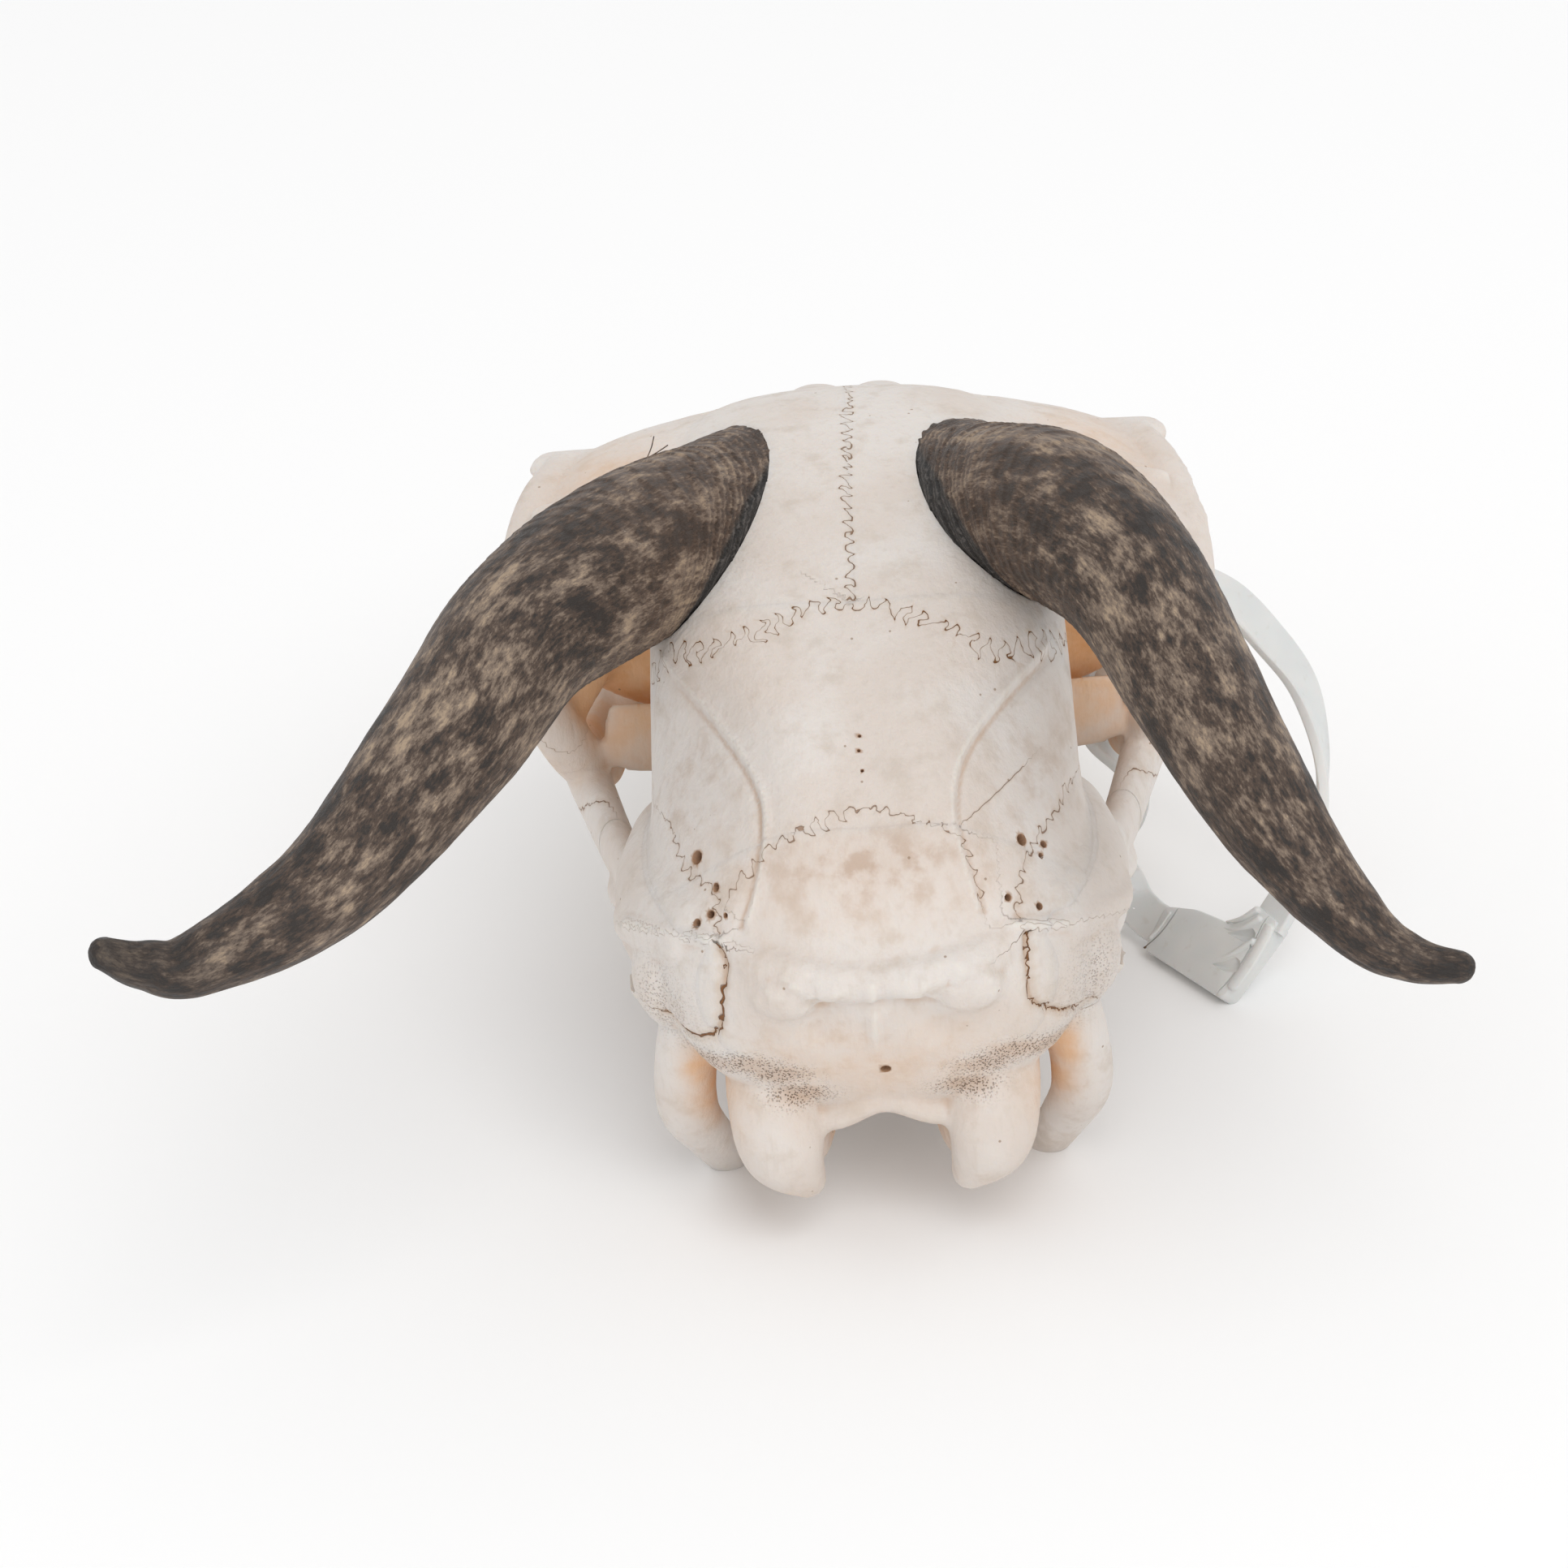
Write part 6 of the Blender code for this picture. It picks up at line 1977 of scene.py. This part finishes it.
@dataclass
class LoopTag:
    """The moulded loop tag: a flat band round the cheek arch, and the leaning lock that holds its ends."""

    width: float = 6.5
    thickness: float = 1.8
    keys: Rows = (
        (60.2, -29.2, 10.2, 0.57, 0.40, -0.72), (61.9, -27.7, 12.0, 0.59, 0.39, -0.71),
        (63.9, -25.6, 14.2, 0.64, 0.36, -0.68), (66.7, -21.0, 17.3, 0.77, 0.28, -0.57),
        (69.2, -15.8, 20.2, 0.92, 0.12, -0.28), (70.8, -10.0, 24.0, 1.00, -0.05, 0.00),
        (70.9, -4.5, 29.4, 0.90, -0.24, 0.26), (69.0, 1.5, 36.2, 0.68, -0.46, 0.52),
        (64.4, 5.4, 42.4, 0.46, -0.54, 0.66), (57.8, 6.4, 50.0, 0.34, -0.54, 0.76),
        (49.5, 3.0, 55.5, 0.30, -0.45, 0.84), (43.0, -1.0, 54.5, 0.50, -0.40, 0.76),
        (37.2, -6.0, 50.0, 0.80, -0.25, 0.55), (34.5, -8.3, 43.0, 1.00, -0.10, 0.10),
        (34.7, -8.9, 36.0, 1.00, -0.10, 0.20), (38.6, -9.2, 31.2, 0.60, -0.10, 0.80),
        (42.4, -8.6, 26.5, 0.80, -0.10, 0.60), (42.4, -7.0, 20.0, 0.90, -0.10, -0.20),
        (39.0, -6.4, 12.5, 0.70, -0.40, -0.50), (40.4, -9.8, 6.2, -0.10, -0.50, 0.80),
        (42.9, -13.6, 4.3, -0.55, -0.40, 0.72), (44.4, -15.9, 4.2, -0.59, -0.39, 0.71),
        (45.2, -17.1, 4.2, -0.59, -0.39, 0.71),
    )
    slot: Rows = ((37.6, -5.6, 4.9, 0.55, 1.6), (40.2, -9.8, 4.2, 0.5, 1.6), (41.6, -11.8, 4.2, 0.3, 1.6))
    corner: Row = (41.4, -19.3, 2.0)
    heading: Row = (0.554, -0.833, 0.0)
    lean: float = 45.0
    depth: float = 4.0
    edge: float = 1.1
    outline: Rows = ((0.0, 0.0), (19.7, 0.0), (21.0, 14.8), (15.4, 15.3), (13.0, 10.8), (4.8, 9.8),
                     (-1.0, 7.7))
    sleeve_seam: Rows = ((1.3, 9.2), (1.95, 7.0), (1.9, 4.5), (1.2, 2.2), (-0.1, 0.3))
    strip_seam: Rows = ((18.0, -0.4), (18.9, 2.6), (19.2, 6.4), (19.1, 10.6), (18.7, 13.4), (18.4, 15.8))
    fins: Sequence[Rows] = (((11.9, 10.6), (14.4, 12.2), (16.2, 14.6)),
                            ((12.2, 9.5), (15.4, 10.8), (17.6, 13.6)),
                            ((13.6, 4.3), (16.6, 6.6), (19.0, 10.2)))
    recesses: Sequence[Rows] = (((13.6, 9.2), (16.2, 10.0), (17.9, 10.6)),
                                ((14.6, 3.9), (16.9, 4.6), (18.4, 5.6)))

    def band(self) -> bpy.types.Object:
        """Builds the band with rounded edges along its loop, and the slot in its lower end.

        Returns:
            The band.
        """
        rows = spline(self.keys, 12)
        corner = 0.5
        half, deep = 0.5 * self.width, 0.5 * self.thickness
        profile = []
        for turn_x, turn_y, first in ((1, 1, 0), (-1, 1, 90), (-1, -1, 180), (1, -1, 270)):
            for step in range(4):
                angle = math.radians(first + 30.0 * step)
                profile.append((turn_x * (half - corner) + corner * math.cos(angle),
                                turn_y * (deep - corner) + corner * math.sin(angle)))
        rings = []
        for index, row in enumerate(rows):
            ahead = heading_at(rows, index)
            across = unit(np.cross(row[3:], ahead))
            facing = np.cross(ahead, across)
            rings.append([row[:3] + across * sideways + facing * outwards for sideways, outwards in profile])
        band = loft("tag_band", rings)
        combine(band, [oval_tube("slot", self.slot, self.keys[-1][3:], 4, 16)], "DIFFERENCE", "EXACT")
        keep_largest(band)
        return band

    def at(self, along: float, upward: float, outward: float = 0.0) -> np.ndarray:
        """Returns the point at a place on the lock's face, raised above it by outward.

        Args:
            along: along the lower edge from the corner.
            upward: up the leaning face.
            outward: out of the face.

        Returns:
            The point.
        """
        ahead = unit(self.heading)
        lean = math.radians(self.lean)
        slope = np.array((-ahead[1] * math.cos(lean), ahead[0] * math.cos(lean), math.sin(lean)))
        return np.array(self.corner) + ahead * along + slope * upward + np.cross(ahead, slope) * outward

    def plate_outline(self, inset: float) -> np.ndarray:
        """Returns the lock's outline with rounded corners, moved inwards.

        Args:
            inset: how far inwards.

        Returns:
            One row a point, along and upward.
        """
        corners = np.asarray(self.outline)
        ahead = np.roll(corners, -1, axis=0) - corners
        ahead /= np.linalg.norm(ahead, axis=1)[:, None]
        inward = np.stack([-ahead[:, 1], ahead[:, 0]], axis=1)
        earlier = np.roll(inward, 1, axis=0)
        corners = corners + (inward + earlier) * inset / (1.0 + np.sum(inward * earlier, axis=1))[:, None]
        edge = max(0.3, self.edge - 0.5 * inset)
        points = []
        for before, here, after in zip(np.roll(corners, 1, axis=0), corners, np.roll(corners, -1, axis=0)):
            start, end = here + unit(before - here) * edge, here + unit(after - here) * edge
            points += [(1 - t) ** 2 * start + 2 * t * (1 - t) * here + t * t * end
                       for t in (0.0, 0.33, 0.67, 1.0)]
            points += [end + (after + unit(here - after) * edge - end) * t for t in (0.25, 0.5, 0.75)]
        return np.array(points)

    def on_face(self, name: str, path: Rows, outward: float, halves: Rows) -> bpy.types.Object:
        """Builds an oval tube along a path on the lock's face.

        Args:
            name: the object's name.
            path: along and upward of each key.
            outward: how far above the face its middle lies.
            halves: half-width and half-height at each key.

        Returns:
            The tube.
        """
        facing = self.at(0.0, 0.0, 1.0) - self.at(0.0, 0.0)
        return oval_tube(name, [(*self.at(*place, outward), *half) for place, half in zip(path, halves)],
                         facing, 8, 14)

    def lock(self) -> bpy.types.Object:
        """Builds the lock: a pillowed plate with a sleeve's seam, fins towards the band, and an edge strip.

        Returns:
            The lock.
        """
        profile = ((self.depth, 0.7), (self.depth - 0.3, 0.2), (self.depth - 0.8, 0.0), (0.7, 0.0),
                   (0.25, 0.2), (0.0, 0.7), (-0.2, 1.6), (-0.35, 2.8))
        rings = [[self.at(*place, -depth) for place in self.plate_outline(inset)] for depth, inset in profile]
        plate = loft("tag_lock_plate", rings)
        forms = [self.on_face("fin", path, -0.15, ((0.12, 0.3), (0.5, 0.75), (0.75, 1.0)))
                 for path in self.fins]
        strip = [(along + 1.15, upward) for along, upward in self.strip_seam[1:-1]]
        collar = [(along - 0.95, upward) for along, upward in self.sleeve_seam[1:-1]]
        forms.append(self.on_face("strip", strip, -0.3, [(1.05, 0.75)] * 4))
        forms.append(self.on_face("collar", collar, -0.35, [(0.55, 0.7)] * 3))
        combine(plate, forms, "UNION", "EXACT")
        cuts = [self.on_face("cut", self.sleeve_seam, 0.1, [(0.2, 0.9)] * 5),
                self.on_face("cut", self.strip_seam, 0.1, [(0.11, 0.5)] * 6)]
        cuts += [self.on_face("cut", path, 0.45, ((0.1, 0.5), (0.8, 1.15), (1.3, 1.2)))
                 for path in self.recesses]
        combine(plate, [*cuts, floor_cutter()], "DIFFERENCE", "EXACT")
        keep_largest(plate)
        return plate

    def build(self) -> None:
        """Builds and shows the band, the lock and the dark strand of painted shade in the lock's seam."""
        finish = PlasticFinish().build()
        show(self.band(), finish, ["tag_strap"], 30.0)
        show(self.lock(), finish, ["tag_lock"], 30.0)
        # painted shade: a dark strand laid in the lock's seam groove
        seam_shade = self.on_face("tag_seam_shade", self.sleeve_seam[1:], -0.45, [(0.17, 0.2)] * 4)
        show(seam_shade, SEAM_SHADE.build(), ["tag_lock"], 30.0)


# The hairs

@dataclass
class StrayHairs:
    """Two fine hairs caught between the left horn's rim and the brow."""

    radius: float = 0.09
    strands: Sequence[Rows] = (
        ((-29.0, -34.0, 98.6), (-28.3, -32.0, 99.4), (-27.9, -30.0, 100.2)),
        ((-29.0, -34.0, 98.6), (-27.2, -33.0, 99.2), (-25.9, -32.0, 99.6)),
    )

    def build(self) -> None:
        """Builds both hairs as one piece."""
        hairs = [oval_tube("hairs", [(*point, self.radius, self.radius) for point in strand], UPRIGHT, 10, 8)
                 for strand in self.strands]
        combine(hairs[0], hairs[1:], "UNION")
        hairs[0].name = "stray_hairs"
        show(hairs[0], HAIR.build(), ["horn_left"])


# The room round the skull

@dataclass
class Studio:
    """A pale floor, soft light from over the camera, and the camera behind and above the skull."""

    elevation: float = 29.0
    yaw: float = 1.5
    roll: float = -4.1
    distance: float = 700.0
    focus: float = 5882.0
    image: float = 1932.0
    target: Row = (-12.1, -50.0, 52.3)
    key: Row = (0.62, -1.75, 2.1)
    key_power: float = 26.0
    key_size: float = 1.7
    sky: str = "#ffffff"
    sky_strength: float = 0.83
    paper: str = "#fbfbfb"

    def floor(self) -> None:
        """Builds the pale floor."""
        mesh_data = bmesh.new()
        bmesh.ops.create_grid(mesh_data, x_segments=1, y_segments=1, size=6.0)
        item = new_object("floor", mesh_data)
        sheet = Sheet("pale paper floor")
        relief = sheet.relief((sheet.noise(3.0), 0.02))
        item.data.materials.append(sheet.finish(linear(self.paper), 0.9, relief))

    def lights(self) -> None:
        """Adds the soft key light and the pale surroundings."""
        world = bpy.data.worlds.new("pale surroundings")
        world.use_nodes = True
        sky = world.node_tree.nodes["Background"].inputs
        sky["Color"].default_value = linear(self.sky)
        sky["Strength"].default_value = self.sky_strength
        bpy.context.scene.world = world
        place = Vector(self.key)
        data = bpy.data.lights.new("key", "AREA")
        data.energy = self.key_power
        data.size = self.key_size
        item = bpy.data.objects.new("key", data)
        item.location = place
        item.rotation_euler = (-place).to_track_quat("-Z", "Y").to_euler()
        bpy.context.scene.collection.objects.link(item)

    def camera(self) -> None:
        """Sets the camera at the angle that the picture was taken from."""
        elevation, yaw, roll = (math.radians(angle) for angle in (self.elevation, self.yaw, self.roll))
        back = np.array((math.sin(yaw) * math.cos(elevation), -math.cos(yaw) * math.cos(elevation),
                         math.sin(elevation)))
        right = np.array((math.cos(yaw), math.sin(yaw), 0.0))
        upward = np.cross(back, right)
        turned = math.cos(roll) * right + math.sin(roll) * upward
        upward = -math.sin(roll) * right + math.cos(roll) * upward
        data = bpy.data.cameras.new("camera")
        data.lens = 36.0 * self.focus / self.image
        data.clip_start = 0.05
        data.clip_end = 20.0
        item = bpy.data.objects.new("camera", data)
        place = (np.array(self.target) + PLACE + back * self.distance) * MM
        item.matrix_world = Matrix([(*(turned[axis], upward[axis], back[axis]), place[axis])
                                    for axis in range(3)]
                                   + [(0.0, 0.0, 0.0, 1.0)])
        bpy.context.scene.collection.objects.link(item)
        bpy.context.scene.camera = item

    def build(self) -> None:
        """Builds floor, lights and camera and takes out the view transform's contrast."""
        self.floor()
        self.lights()
        self.camera()
        bpy.context.scene.view_settings.view_transform = "Standard"


def clear_startup() -> None:
    """Removes the objects that Blender starts with."""
    kept = set(frame["nodes"].values()) | set(frame["bodies"].values())
    for item in list(bpy.data.objects):
        if item not in kept:
            bpy.data.objects.remove(item, do_unlink=True)


def main() -> None:
    """Builds every sub-assembly in order."""
    logging.basicConfig(level=logging.INFO, format="%(name)s: %(message)s")
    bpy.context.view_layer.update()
    clear_startup()
    horns = [HornSheath("left", LEFT_HORN, 3.0), HornSheath("right", RIGHT_HORN, 11.0)]
    Cranium(voxel=0.65).build(horns)
    enamel = EnamelFinish().build()
    for name, side in SIDES.items():
        ToothRow(side).build(enamel, name)
    tree = horn_tree()
    keratin = HornFinish().build()
    for horn in horns:
        horn.build(tree, keratin)
    StrayHairs().build()
    LoopTag().build()
    Studio().build()


if __name__ == "__main__":
    main()
